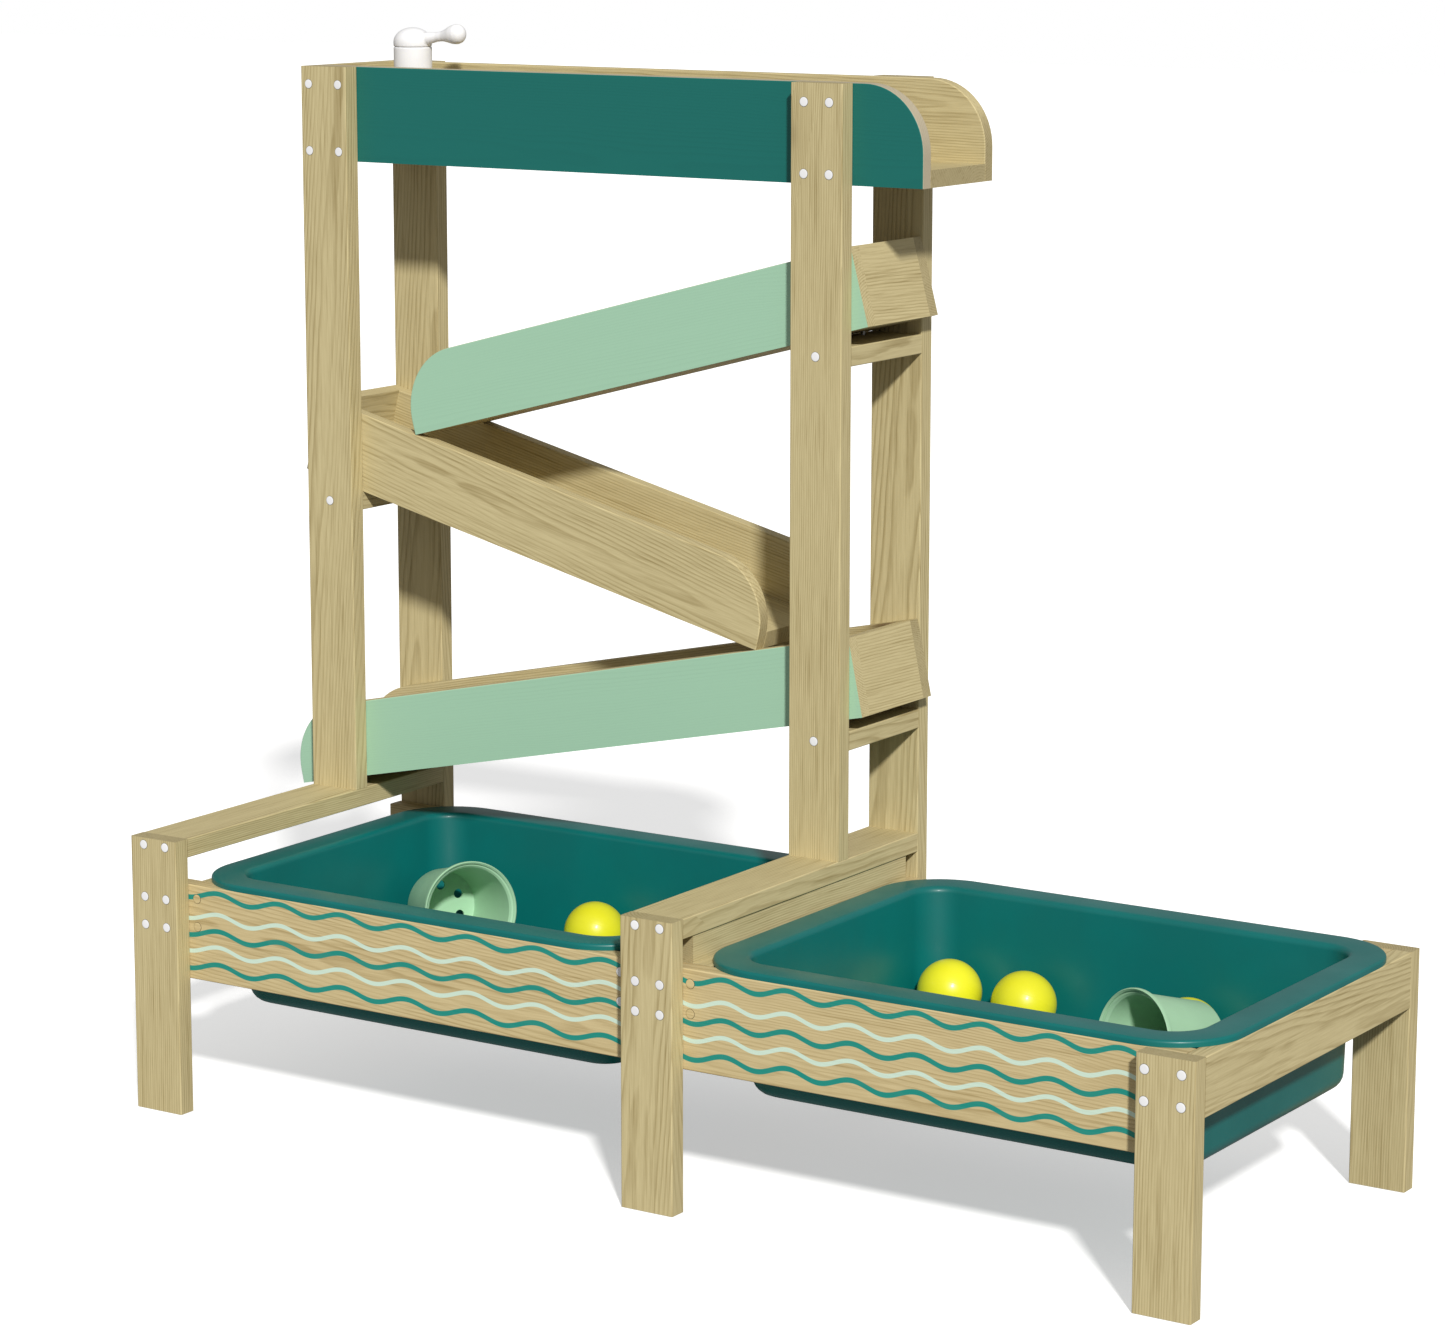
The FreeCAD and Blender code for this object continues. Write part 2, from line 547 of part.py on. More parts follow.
def screw_solid(start, direction):
    sunk = cell("sink_depth")
    tip = sunk + cell("screw_reach")
    width = cell("screw_shank")
    head = Part.makeCylinder(cell("screw_head") / 2, cell("screw_head_height"),
                             start + direction * (sunk - cell("screw_head_height")), direction)
    shank = Part.makeCylinder(width / 2, cell("screw_reach") - width, start + direction * sunk, direction)
    nose = Part.makeCone(width / 2, width / 2 * POINT_SHARE, width, start + direction * (tip - width),
                         direction)
    return head.fuse([shank, nose]).removeSplitter()


def drill_solid(start, direction):
    """The hole for one screw: a sunk seat for head and cap, then the shank's hole."""
    sunk = cell("sink_depth")
    wide = cell("cap_width") + 2 * cell("drill_clearance")
    narrow = cell("screw_shank") + 2 * cell("drill_clearance")
    end = sunk + cell("screw_reach") + cell("drill_clearance")
    return stepped_pin(start, direction, [(0.0, sunk, wide), (0.0, end, narrow)])


def cap_solid(start, direction):
    """A cover cap that sits on a screw's head with its crowned face outside."""
    radius = cell("cap_width") / 2
    depth = cell("sink_depth") - cell("screw_head_height")
    disc = Part.makeCylinder(radius, depth, start, direction)
    crown = Part.makeCone(radius, radius * CROWN_SHARE, cell("cap_dome"), start, direction * -1)
    return disc.fuse(crown).removeSplitter()


def fastener_group(label, solids):
    group = doc.addObject("Part::Feature", label)
    group.Shape = Part.makeCompound(solids)
    return keep(label, group)


CROWN_SHARE = 0.8        # flat top of a cap's crown against the cap's own width
POINT_SHARE = 0.25       # width of a screw's tip against its shank
SCREWS = screw_places()
DRILLS = [drill_solid(start, direction) for start, direction, family, cover in SCREWS]


def drilled(label, body):
    """Finishes a wooden piece: drills it wherever a screw runs through it."""
    doc.recompute()
    box = body.Shape.BoundBox
    tools = [drill for drill in DRILLS if drill.BoundBox.intersect(box)]
    tools = [drill for drill in tools if drill.common(body.Shape).Volume > 1e-3]
    if not tools:
        return keep(label, body)
    holes = doc.addObject("Part::Feature", f"{label}_holes")
    holes.Shape = Part.makeCompound(tools)
    piece = doc.addObject("Part::Cut", f"{label}_drilled")
    piece.Base = body
    piece.Tool = holes
    piece.Refine = True
    doc.recompute()
    return keep(label, piece)


def make_fasteners():
    families = ["leg_screws", "bearer_screws", "tower_screws", "ramp_screws", "post_foot_screws"]
    for family in families:
        solids = [screw_solid(start, direction) for start, direction, kind, cover in SCREWS
                  if kind == family]
        fastener_group(family, solids)
    for label, wanted in (("screw_caps", "cap"), ("wood_plugs", "plug")):
        solids = [cap_solid(start, direction) for start, direction, kind, cover in SCREWS
                  if cover == wanted]
        fastener_group(label, solids)


# ------------------------------------------------------------------- timber

def upright(label, x, y, z, height):
    """A leg or post: its wide face looks along Y."""
    body = timber(f"{label}_timber", x, y, z, "Sizes.stock_width", "Sizes.stock_thick", height, Z_AXIS)
    return drilled(label, body)


def make_uprights():
    upright("front_left_leg", "0", "0", "0", "Sizes.rail_top")
    upright("front_middle_leg", "Layout.middle_leg_x", "0", "0", "Sizes.rail_top")
    upright("front_right_leg", "Layout.right_leg_x", "0", "0", "Sizes.panel_top")
    upright("rear_right_leg", "Layout.right_leg_x", "Layout.rear_face", "0", "Sizes.panel_top")
    upright("rear_left_post", "0", "Layout.rear_face", "0", "Sizes.tower_top")
    upright("rear_middle_post", "Layout.middle_leg_x", "Layout.rear_face", "0", "Sizes.tower_top")
    short = "Sizes.tower_top - Sizes.rail_top"
    upright("tower_left_post", "0", "Layout.tower_front", "Sizes.rail_top", short)
    upright("tower_right_post", "Layout.middle_leg_x", "Layout.tower_front", "Sizes.rail_top", short)


def make_rails():
    """Two rails laid flat from the front legs to the rear posts."""
    length = "Layout.rear_face - Sizes.stock_thick"
    for label, x in (("left_cross_rail", "0"), ("middle_cross_rail", "Layout.middle_leg_x")):
        body = timber(f"{label}_timber", x, "Sizes.stock_thick", "Layout.rail_bottom",
                      "Sizes.stock_width", length, "Sizes.stock_thick", Y_AXIS)
        drilled(label, body)


def make_panels():
    """Long panels inside the legs, meeting behind the middle ones; the rear ones are low."""
    spans = [("left_panel", "0", "Layout.panel_joint"),
             ("right_panel", "Layout.panel_joint", "Layout.end_board_x - Layout.panel_joint")]
    rows = [("front", "Sizes.stock_thick", "Layout.panel_bottom", "Sizes.panel_height"),
            ("rear", "Layout.rear_panel_face", "Layout.bearer_bottom", "Sizes.bearer_height")]
    for side, y, bottom, height in rows:
        for name, x, length in spans:
            label = f"{side}_{name}"
            body = timber(f"{label}_timber", x, y, bottom, length, "Sizes.stock_thick", height, X_AXIS)
            drilled(label, body)


def make_bearers():
    """Boards across the frame that carry the tubs, and the divider under the middle rail."""
    for label, x in (("left_bearer", "Layout.left_bearer_x"),
                     ("left_bay_inner_bearer", "Layout.inner_bearer_x"),
                     ("right_bay_inner_bearer", "Layout.right_bay_x")):
        body = timber(f"{label}_timber", x, "Layout.panel_back", "Layout.bearer_bottom",
                      "Sizes.stock_thick", "Layout.bearer_length", "Sizes.bearer_height", Y_AXIS)
        drilled(label, body)
    body = timber("right_end_timber", "Layout.end_board_x", "Sizes.stock_thick", "Layout.bearer_bottom",
                  "Sizes.stock_thick", "Layout.rear_face - Sizes.stock_thick",
                  "Sizes.bearer_height", Y_AXIS)
    drilled("right_end_board", body)
    body = timber("divider_timber", "Layout.right_bay_x - Sizes.stock_thick", "Layout.panel_back",
                  "Layout.rail_bottom - Sizes.divider_height", "Sizes.stock_thick",
                  "Layout.bearer_length", "Sizes.divider_height", Y_AXIS)
    drilled("centre_divider", body)


def make_battens():
    """Flat battens between front and rear posts, one under the high end of each ramp."""
    for label, x, top in (("lower_batten", "Layout.middle_leg_x", "Sizes.lower_batten_top"),
                          ("middle_batten", "0", "Layout.middle_batten_top"),
                          ("upper_batten", "Layout.middle_leg_x", "Layout.upper_batten_top")):
        body = timber(f"{label}_timber", x, "Layout.bay_front", f"{top} - Sizes.stock_thick",
                      "Sizes.stock_width", "Sizes.bay_width", "Sizes.stock_thick", Y_AXIS)
        drilled(label, body)


# --------------------------------------------------------- trough and ramps

REAR_BOARD_Y = "Layout.rear_face - Sizes.board_thick"
SEAT_DEPTH = "Sizes.tap_washer_thick + Sizes.tap_nut_height + Sizes.nut_inset"


def make_trough():
    """Level trough, rounded at its outlet on the right, closed on the left."""
    length = "Layout.trough_length"
    sides = (("trough_front_board", "Layout.bay_front"), ("trough_rear_board", REAR_BOARD_Y))
    for label, y in sides:
        body = side_board(f"{label}_timber", length, "Sizes.trough_height", mirrored=True)
        place(body, length, y, "Layout.trough_bottom")
        drilled(label, body)
    floor_length = f"{length} - Sizes.board_thick"
    body = plain_board("trough_floor_timber", "0", "0", floor_length, "Sizes.floor_thick", mirrored=True)
    place(body, length, "Layout.bay_front", "Layout.trough_bottom")
    doc.recompute()
    hole = doc.addObject("Part::Cylinder", "trough_floor_hole")
    hole.setExpression("Radius", "Sizes.tap_shank / 2 + Sizes.drill_clearance")
    hole.setExpression("Height", "2 * Sizes.floor_thick")
    place(hole, "Sizes.tap_x", "Layout.bay_middle", "Layout.trough_bottom - Sizes.floor_thick / 2")
    seat = doc.addObject("Part::Cylinder", "trough_floor_seat")
    seat.setExpression("Radius", "Sizes.nut_recess / 2")
    seat.setExpression("Height", f"2 * ({SEAT_DEPTH})")
    place(seat, "Sizes.tap_x", "Layout.bay_middle", f"Layout.trough_bottom - ({SEAT_DEPTH})")
    cutter = doc.addObject("Part::Fuse", "trough_floor_cutter")
    cutter.Base = hole
    cutter.Tool = seat
    floor = doc.addObject("Part::Cut", "trough_floor_bored")
    floor.Base = body
    floor.Tool = cutter
    keep("trough_floor", floor)
    body = plain_board("trough_end_timber", floor_length, "0", "Sizes.board_thick",
                       "Sizes.trough_height", mirrored=True)
    place(body, length, "Layout.bay_front", "Layout.trough_bottom")
    keep("trough_end_board", body)


def make_ramp(level, length, angle, foot_x, foot_z, falls_right):
    """One sloping channel, open and rounded at its foot and closed at its head."""
    axis = Y_AXIS if falls_right else Y_AXIS * -1

    def lay(body, y):
        place(body, foot_x, y, foot_z, axis, angle)

    for side, y in (("front", "Layout.bay_front"), ("rear", REAR_BOARD_Y)):
        label = f"{level}_ramp_{side}_board"
        body = side_board(f"{label}_timber", length, "Sizes.ramp_height", falls_right)
        lay(body, y)
        keep(label, body)
    floor_length = f"{length} - Sizes.board_thick"
    body = plain_board(f"{level}_floor_timber", "0", "0", floor_length, "Sizes.floor_thick", falls_right)
    lay(body, "Layout.bay_front")
    drilled(f"{level}_ramp_floor", body)
    body = plain_board(f"{level}_end_timber", floor_length, "0", "Sizes.board_thick",
                       "Sizes.ramp_height", falls_right)
    lay(body, "Layout.bay_front")
    keep(f"{level}_ramp_end_board", body)


def make_ramps():
    make_ramp("lower", "Layout.lower_length", "Layout.lower_angle",
              "Layout.lower_foot_x", "Layout.lower_foot_z", False)
    make_ramp("middle", "Layout.middle_length", "Sizes.middle_angle",
              "Layout.middle_foot_x", "Layout.middle_foot_z", True)
    make_ramp("upper", "Layout.upper_length", "Sizes.upper_angle",
              "Layout.upper_foot_x", "Layout.upper_foot_z", False)


# --------------------------------------------------------------------- tubs

def make_tub(label, x):
    """A moulded tub hung by its rim; its sketches are centred, with the rim's top at Z 0."""
    body = new_body(label)
    rim_length, rim_depth = "Sizes.rim_length", "Layout.rim_depth"
    rim = new_sketch(body, f"{label}_rim", "XY_Plane")
    rounded_rectangle(rim, rim_length, rim_depth, "Sizes.rim_corner")
    rim_pad = pad(body, f"{label}_flange", rim, "Sizes.rim_height", back=True)

    def top_edge(edge):
        return edge.BoundBox.ZMax > -1e-6 and edge.BoundBox.ZLength < 1e-6

    fillet(body, f"{label}_rim_edge", rim_pad, top_edge, "Sizes.tub_wall / 2")

    hollow = new_sketch(body, f"{label}_lip", "XY_Plane", "-Sizes.tub_wall")
    rounded_rectangle(hollow, f"{rim_length} - 2 * Sizes.tub_wall", f"{rim_depth} - 2 * Sizes.tub_wall",
                      "Sizes.rim_corner - Sizes.tub_wall")
    pocket(body, f"{label}_lip_hollow", hollow, "Sizes.rim_height")

    outside = new_sketch(body, f"{label}_wall", "XY_Plane", "-Sizes.tub_wall")
    rounded_rectangle(outside, "Layout.tub_length", "Layout.tub_breadth", "Sizes.wall_corner")
    pad(body, f"{label}_body", outside, "Sizes.tub_depth - Sizes.tub_wall", back=True,
        draft="-Sizes.tub_draft")

    inside = new_sketch(body, f"{label}_inside", "XY_Plane")
    rounded_rectangle(inside, "Layout.tub_length - 2 * Sizes.tub_wall",
                      "Layout.tub_breadth - 2 * Sizes.tub_wall", "Sizes.wall_corner - Sizes.tub_wall")
    bore = pocket(body, f"{label}_hollow", inside, "Sizes.tub_depth - Sizes.tub_wall",
                  draft="-Sizes.tub_draft")

    def level_at(formula, reach):
        """Tests for a level edge at the formula's height, nearer than reach to the middle."""
        height, limit = evaluate(formula), evaluate(reach)

        def test(edge):
            box = edge.BoundBox
            near = max(abs(box.XMin), abs(box.XMax)) < limit
            return near and box.ZLength < 1e-3 and abs(box.ZMax - height) < 1e-3
        return test

    wall_reach = "Layout.tub_length / 2"
    inner_heel = fillet(body, f"{label}_inner_heel", bore,
                        level_at("Sizes.tub_wall - Sizes.tub_depth", wall_reach),
                        "Sizes.tub_heel - Sizes.tub_wall")
    heel = fillet(body, f"{label}_heel", inner_heel, level_at("-Sizes.tub_depth", wall_reach),
                  "Sizes.tub_heel")
    fillet(body, f"{label}_brim", heel, level_at("0", f"{wall_reach} - Sizes.tub_wall / 2"),
           "Sizes.tub_wall * 0.9")
    place(body, x, "Layout.centre_y", "Layout.rim_top")
    return keep(label, body)


# ---------------------------------------------------------------------- tap

def turned(name, profile, role="XZ_Plane"):
    """A body turned about its own upright axis from (radius, height) formulas."""
    body = new_body(name)
    sketch = new_sketch(body, f"{name}_profile", role)
    closed_profile(sketch, profile)
    spun = body.newObject("PartDesign::Revolution", f"{name}_turned")
    spun.Profile = sketch
    spun.ReferenceAxis = (sketch, ["V_Axis"])
    spun.Angle = 360
    doc.recompute()
    return body


def stand_at_tap(piece, z, axis=None, angle=None):
    """Puts a piece on the tap's own axis."""
    place(piece, "Sizes.tap_x", "Layout.bay_middle", z, axis, angle)


def make_tap_body(floor, barrel, shank, bore):
    """Barrel, foot and shank turned in one, with a falling spout bored through to it."""
    top = f"(Sizes.tap_barrel_top - {floor})"
    foot, foot_height = f"{barrel} + Sizes.tap_foot", "Sizes.tap_foot_height"
    below = "-(Sizes.floor_thick - Sizes.nut_inset)"
    bottom = f"{top} - Sizes.spindle_bore"
    body = turned("tap_barrel", [
        ("0", below), (shank, below), (shank, "0"), (foot, "0"), (foot, foot_height),
        (barrel, f"2 * {foot_height}"), (barrel, top), (bore, top), (bore, bottom), ("0", bottom),
    ])
    stand_at_tap(body, floor)
    tilt = "90 + Sizes.spout_fall"
    root = f"{floor} + Sizes.spout_height"
    spout = doc.addObject("Part::Cylinder", "tap_spout")
    spout.setExpression("Radius", "Sizes.spout_width / 2")
    spout.setExpression("Height", "Sizes.spout_reach")
    stand_at_tap(spout, root, Y_AXIS, tilt)
    outlet = doc.addObject("Part::Cylinder", "tap_outlet")
    outlet.setExpression("Radius", "Sizes.spout_bore / 2")
    outlet.setExpression("Height", "Sizes.spout_reach + Sizes.tap_foot")
    stand_at_tap(outlet, root, Y_AXIS, tilt)
    joined = doc.addObject("Part::Fuse", "tap_joined")
    joined.Base = body
    joined.Tool = spout
    tap = doc.addObject("Part::Cut", "tap_bored")
    tap.Base = joined
    tap.Tool = outlet
    keep("tap_body", tap)


def dome_outline(radius, low, high, angles):
    """Points on a quarter oval from (radius, low) towards (0, high), at angles in degrees."""
    rise = f"({high} - {low})"
    return [(f"{radius} * cos({angle}deg)", f"{low} + {rise} * sin({angle}deg)") for angle in angles]


def make_tap_handle(barrel, neck):
    """Domed cap over the barrel that runs out into a lever with a round knob."""
    socket, gap, shoulder = "Sizes.spindle_socket", "Sizes.dome_gap", "Sizes.dome_shoulder"
    cover = turned("tap_dome", [
        ("0", socket), (neck, socket), (neck, gap), (barrel, gap), (barrel, shoulder),
        *dome_outline(barrel, shoulder, "Sizes.tap_dome", (22, 45, 68)), ("0", "Sizes.tap_dome"),
    ])
    stand_at_tap(cover, "Sizes.tap_barrel_top")
    arm, knob, reach = "Sizes.tap_lever_width / 2", "Sizes.tap_knob / 2", "Sizes.tap_lever"
    lever = turned("tap_arm", [
        ("0", "0"), (arm, "0"), (arm, f"{reach} / 2"),
        *dome_outline(knob, reach, f"{reach} + {knob}", (-45, -20, 5, 30, 60)),
        ("0", f"{reach} + {knob}"),
    ])
    stand_at_tap(lever, "Sizes.tap_barrel_top + Sizes.tap_lever_height", Y_AXIS,
                 "90 - Sizes.tap_lever_rise")
    handle = doc.addObject("Part::Fuse", "tap_handle_joined")
    handle.Base = cover
    handle.Tool = lever
    keep("tap_handle", handle)


def make_tap_spindle(bore, neck):
    """Stepped spindle that the handle turns in the barrel's bore."""
    width = f"{bore} - Sizes.tap_gap"
    low, step, socket = "-Sizes.spindle_length", "-Sizes.spindle_neck", "Sizes.spindle_socket"
    spindle = turned("tap_stem", [
        ("0", low), (width, low), (width, step), (neck, step), (neck, socket), ("0", socket),
    ])
    stand_at_tap(spindle, "Sizes.tap_barrel_top")
    keep("tap_spindle", spindle)


def make_tap_fixing(shank):
    """Washer and nut on the shank, in a seat sunk into the floor's underside."""
    wide, thick = "Sizes.tap_washer_width / 2", "Sizes.tap_washer_thick"
    nut_bottom = "Layout.trough_bottom + Sizes.nut_inset"
    washer = turned("tap_washer_disc", [(shank, "0"), (wide, "0"), (wide, thick), (shank, thick)])
    stand_at_tap(washer, f"{nut_bottom} + Sizes.tap_nut_height")
    keep("tap_washer", washer)

    nut = new_body("tap_nut")
    outline = new_sketch(nut, "tap_nut_outline", "XY_Plane")
    sides = 6
    radius = cell("tap_nut_width") / 2
    corners = [Vector(radius * math.cos(math.pi / 3 * i), radius * math.sin(math.pi / 3 * i))
               for i in range(sides)]
    outline.addGeometry([Part.LineSegment(corners[i], corners[(i + 1) % sides])
                         for i in range(sides)], False)
    outline.addGeometry(Part.Circle(Vector(), Z_AXIS, radius / 2), False)
    for i in range(sides):
        outline.addConstraint(Sketcher.Constraint("Coincident", i, 2, (i + 1) % sides, 1))
    outline.addConstraint(Sketcher.Constraint("Coincident", sides, 3, -1, 1))
    dimension(outline, shank, "Radius", sides, radius / 2)
    pad(nut, "tap_nut_block", outline, "Sizes.tap_nut_height")
    stand_at_tap(nut, nut_bottom)
    keep("tap_nut", nut)


def make_tap():
    """Lever tap that stands on the trough's floor, held by a nut under it."""
    barrel, shank = "Sizes.tap_width / 2", "Sizes.tap_shank / 2"
    bore, neck = "Sizes.spindle_width / 2", "Sizes.spindle_neck_width / 2"
    make_tap_body("Layout.trough_floor_top", barrel, shank, bore)
    make_tap_handle(barrel, neck)
    make_tap_spindle(bore, neck)
    make_tap_fixing(shank)


# -------------------------------------------------------------- accessories

def cup_profile():
    """Outline of a cup standing on its bottom, lip and all."""
    mouth, base = "Sizes.cup_mouth / 2", "Sizes.cup_base / 2"
    tall, wall = "Sizes.cup_length", "Sizes.cup_wall"
    bevel, under_lip = "Sizes.cup_chamfer", "(Sizes.cup_length - Sizes.cup_lip_height)"
    neck = f"{mouth} - Sizes.cup_lip"
    return [
        ("0", "0"), (f"{base} - {bevel}", "0"), (base, bevel), (neck, under_lip), (mouth, under_lip),
        (mouth, tall), (f"{neck} - {wall}", tall), (f"{base} - {wall}", f"{wall} + {bevel}"),
        (f"{base} - {wall} - {bevel}", wall), ("0", wall),
    ]


def make_cup(label, x, y, sieve):
    """A cup lying on its side on the tub's floor, with its mouth turned as its cell says."""
    body = turned(f"{label}_moulding", cup_profile())
    if sieve:
        floor = new_sketch(body, f"{label}_holes", "XY_Plane")
        ring_radius, hole_radius = cell("sieve_ring") / 2, cell("sieve_hole") / 2
        floor.addGeometry(Part.Circle(Vector(ring_radius, 0), Z_AXIS, hole_radius), False)
        dimension(floor, "Sizes.sieve_hole / 2", "Radius", 0, hole_radius)
        floor.addConstraint(Sketcher.Constraint("PointOnObject", 0, 3, -1))
        dimension(floor, "Sizes.sieve_ring / 2", "DistanceX", -1, 1, 0, 3, ring_radius)
        hole = pocket(body, f"{label}_hole", floor, "2 * Sizes.cup_wall", back=True)
        ring = body.newObject("PartDesign::PolarPattern", f"{label}_ring")
        ring.Originals = [hole]
        ring.Axis = (floor, ["N_Axis"])
        ring.Angle = 360
        ring.Occurrences = 6
        body.Tip = ring
        doc.recompute()
    mouth, base, tall = cell("cup_mouth") / 2, cell("cup_base") / 2, cell("cup_length")
    lean = math.degrees(math.atan2(mouth - base, tall - cell("cup_chamfer")))
    lying = FreeCAD.Rotation(Y_AXIS, 90 - lean)
    turned_round = FreeCAD.Rotation(Z_AXIS, cell(f"{label}_turn"))
    body.Placement = FreeCAD.Placement(Vector(), turned_round.multiply(lying))
    doc.recompute()
    drop = body.Shape.BoundBox.ZMin
    place(body, x, y, f"Layout.tub_floor + Sizes.rest_gap - ({drop})")
    return keep(label, body)


def make_ball(label, x):
    """A ball on a tub's floor, in the row along the rear wall."""
    ball = doc.addObject("Part::Sphere", f"{label}_sphere")
    ball.setExpression("Radius", "Sizes.ball_width / 2")
    place(ball, x, "Layout.ball_row", "Layout.tub_floor + Sizes.rest_gap + Sizes.ball_width / 2")
    return keep(label, ball)


def make_accessories():
    """Loose cups and balls; a cup's place is the middle of its bottom."""
    make_cup("sieve_cup", "Layout.left_floor_start + Sizes.sieve_cup_inset",
             "Layout.floor_back - Sizes.sieve_cup_setback", True)
    make_cup("scoop_cup", "Layout.right_floor_end - Sizes.scoop_cup_inset",
             "Layout.ball_row - Sizes.ball_width / 2 - Sizes.scoop_cup_gap", False)
    make_ball("left_ball", "Layout.left_tub_middle - Sizes.left_ball_inset")
    make_ball("rear_ball", "Layout.rear_ball_x")
    make_ball("middle_ball", "Layout.middle_ball_x")
    make_ball("right_ball", "Layout.right_tub_middle + Sizes.right_ball_offset")


def export_nodes():
    """Checks every object, then writes one file for each piece."""
    doc.recompute()
    for item in doc.Objects:
        if "Invalid" in item.State or "Error" in item.State:
            raise RuntimeError(f"{item.Label} failed: {item.State}")
    for label, piece in nodes.items():
        if piece.Shape.isNull() or not piece.Shape.isValid():
            raise RuntimeError(f"{label} has no valid shape")
    os.makedirs("parts", exist_ok=True)
    for label, piece in nodes.items():
        piece.Shape.exportStep(os.path.join("parts", f"{label}.step"))
    print(f"{len(nodes)} nodes")


make_uprights()
make_rails()
make_panels()
make_bearers()
make_battens()
make_trough()
make_ramps()
make_tub("left_tub", "Layout.left_tub_middle")
make_tub("right_tub", "Layout.right_tub_middle")
make_tap()
make_accessories()
make_fasteners()
export_nodes()
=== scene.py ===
import math
import random

import bmesh
import bpy
from mathutils import Euler, Matrix, Vector


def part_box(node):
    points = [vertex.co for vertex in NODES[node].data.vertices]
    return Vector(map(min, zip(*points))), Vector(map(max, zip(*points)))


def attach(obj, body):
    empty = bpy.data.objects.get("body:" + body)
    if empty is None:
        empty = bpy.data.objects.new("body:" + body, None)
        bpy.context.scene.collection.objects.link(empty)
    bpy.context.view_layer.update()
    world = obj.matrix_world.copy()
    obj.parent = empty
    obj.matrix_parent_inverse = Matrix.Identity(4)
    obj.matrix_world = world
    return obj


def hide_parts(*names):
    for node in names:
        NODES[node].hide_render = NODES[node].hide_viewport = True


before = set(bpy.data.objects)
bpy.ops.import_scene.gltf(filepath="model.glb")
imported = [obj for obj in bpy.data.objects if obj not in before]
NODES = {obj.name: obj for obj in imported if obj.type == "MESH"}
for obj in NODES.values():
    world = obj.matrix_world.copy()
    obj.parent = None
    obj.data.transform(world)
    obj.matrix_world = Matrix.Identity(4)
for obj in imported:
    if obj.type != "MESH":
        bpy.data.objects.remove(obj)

bl_info = {
    "name": "Wave Slide Finishes",
    "version": (1, 0, 0),
    "blender": (4, 5, 0),
    "location": "View3D > Sidebar > Wave Slide",
    "description": "Timber, paint, moulded tubs, fittings and studio for a water-play table",
    "category": "Object",
}

BOARD_END_AXES = {"X": Vector((1, 0, 0)), "Y": Vector((0, 1, 0)), "Z": Vector((0, 0, 1))}

UPRIGHTS = ["front_left_leg", "front_middle_leg", "front_right_leg", "rear_right_leg",
            "rear_left_post", "rear_middle_post", "tower_left_post", "tower_right_post"]
CROSS_BOARDS = ["left_cross_rail", "middle_cross_rail", "left_bearer", "left_bay_inner_bearer",
                "right_bay_inner_bearer", "right_end_board", "centre_divider", "upper_batten",
                "middle_batten", "lower_batten", "trough_end_board"]
# Flat-sawn pieces, whose rings come out as tall arches on the wide face.
ARCHED = {"tower_left_post", "rear_left_post", "middle_ramp_front_board", "right_end_board",
          "front_left_panel", "rear_right_panel", "rear_middle_post", "front_middle_leg"}
PANELS = ["front_left_panel", "front_right_panel", "rear_left_panel", "rear_right_panel"]
SLOPES = {"trough": 0.0, "upper_ramp": -14.8, "middle_ramp": 13.7, "lower_ramp": -12.02}


def linear(red, green, blue):
    """A colour given as 0 to 255 display values, as Blender's own linear values."""
    def channel(value):
        share = value / 255
        return share / 12.92 if share <= 0.04045 else ((share + 0.055) / 1.055) ** 2.4
    return (channel(red), channel(green), channel(blue))


def colour_property(name, description, red, green, blue):
    return bpy.props.FloatVectorProperty(
        name=name, description=description, default=linear(red, green, blue), subtype="COLOR",
        size=3, min=0.0, max=1.0)


def length_property(name, description, metres):
    return bpy.props.FloatProperty(name=name, description=description, default=metres, unit="LENGTH",
                                   min=0.0)


class TimberSettings(bpy.types.PropertyGroup):
    """Colours and figure of the planed softwood."""
    early_wood: colour_property("Early wood", "Pale wood between the ring lines", 203, 189, 144)
    late_wood: colour_property("Late wood", "Darker wood of the ring lines", 150, 132, 86)
    panel_early: colour_property("Panel early wood", "Pale wood of the long panels", 208, 190, 144)
    panel_late: colour_property("Panel late wood", "Ring lines of the long panels", 158, 136, 88)
    knot: colour_property("Knot", "Heart of a knot", 92, 68, 38)
    ring_gap: length_property("Ring gap", "Distance from one growth ring to the next", 0.0026)


class PaintSettings(bpy.types.PropertyGroup):
    """Colours of the painted boards."""
    teal: colour_property("Teal", "Paint on the trough's front board", 22, 108, 101)
    mint: colour_property("Mint", "Paint on the ramps' front boards", 163, 204, 176)
    cut_edge: colour_property("Cut edge", "Bare edge of the painted boards", 176, 166, 148)


class WaveSettings(bpy.types.PropertyGroup):
    """Wave lines printed along the long panels."""
    waves: bpy.props.IntProperty(name="Waves", description="Waves along one panel", default=8, min=1)
    rise: length_property("Rise", "Half the height of a wave", 0.0040)
    broad_line: length_property("Broad line", "Width of the dark lines", 0.0052)
    fine_line: length_property("Fine line", "Width of the pale lines", 0.0043)
    deep: colour_property("Deep", "Colour of the dark lines", 18, 140, 128)
    foam: colour_property("Foam", "Colour of the pale lines", 205, 228, 211)


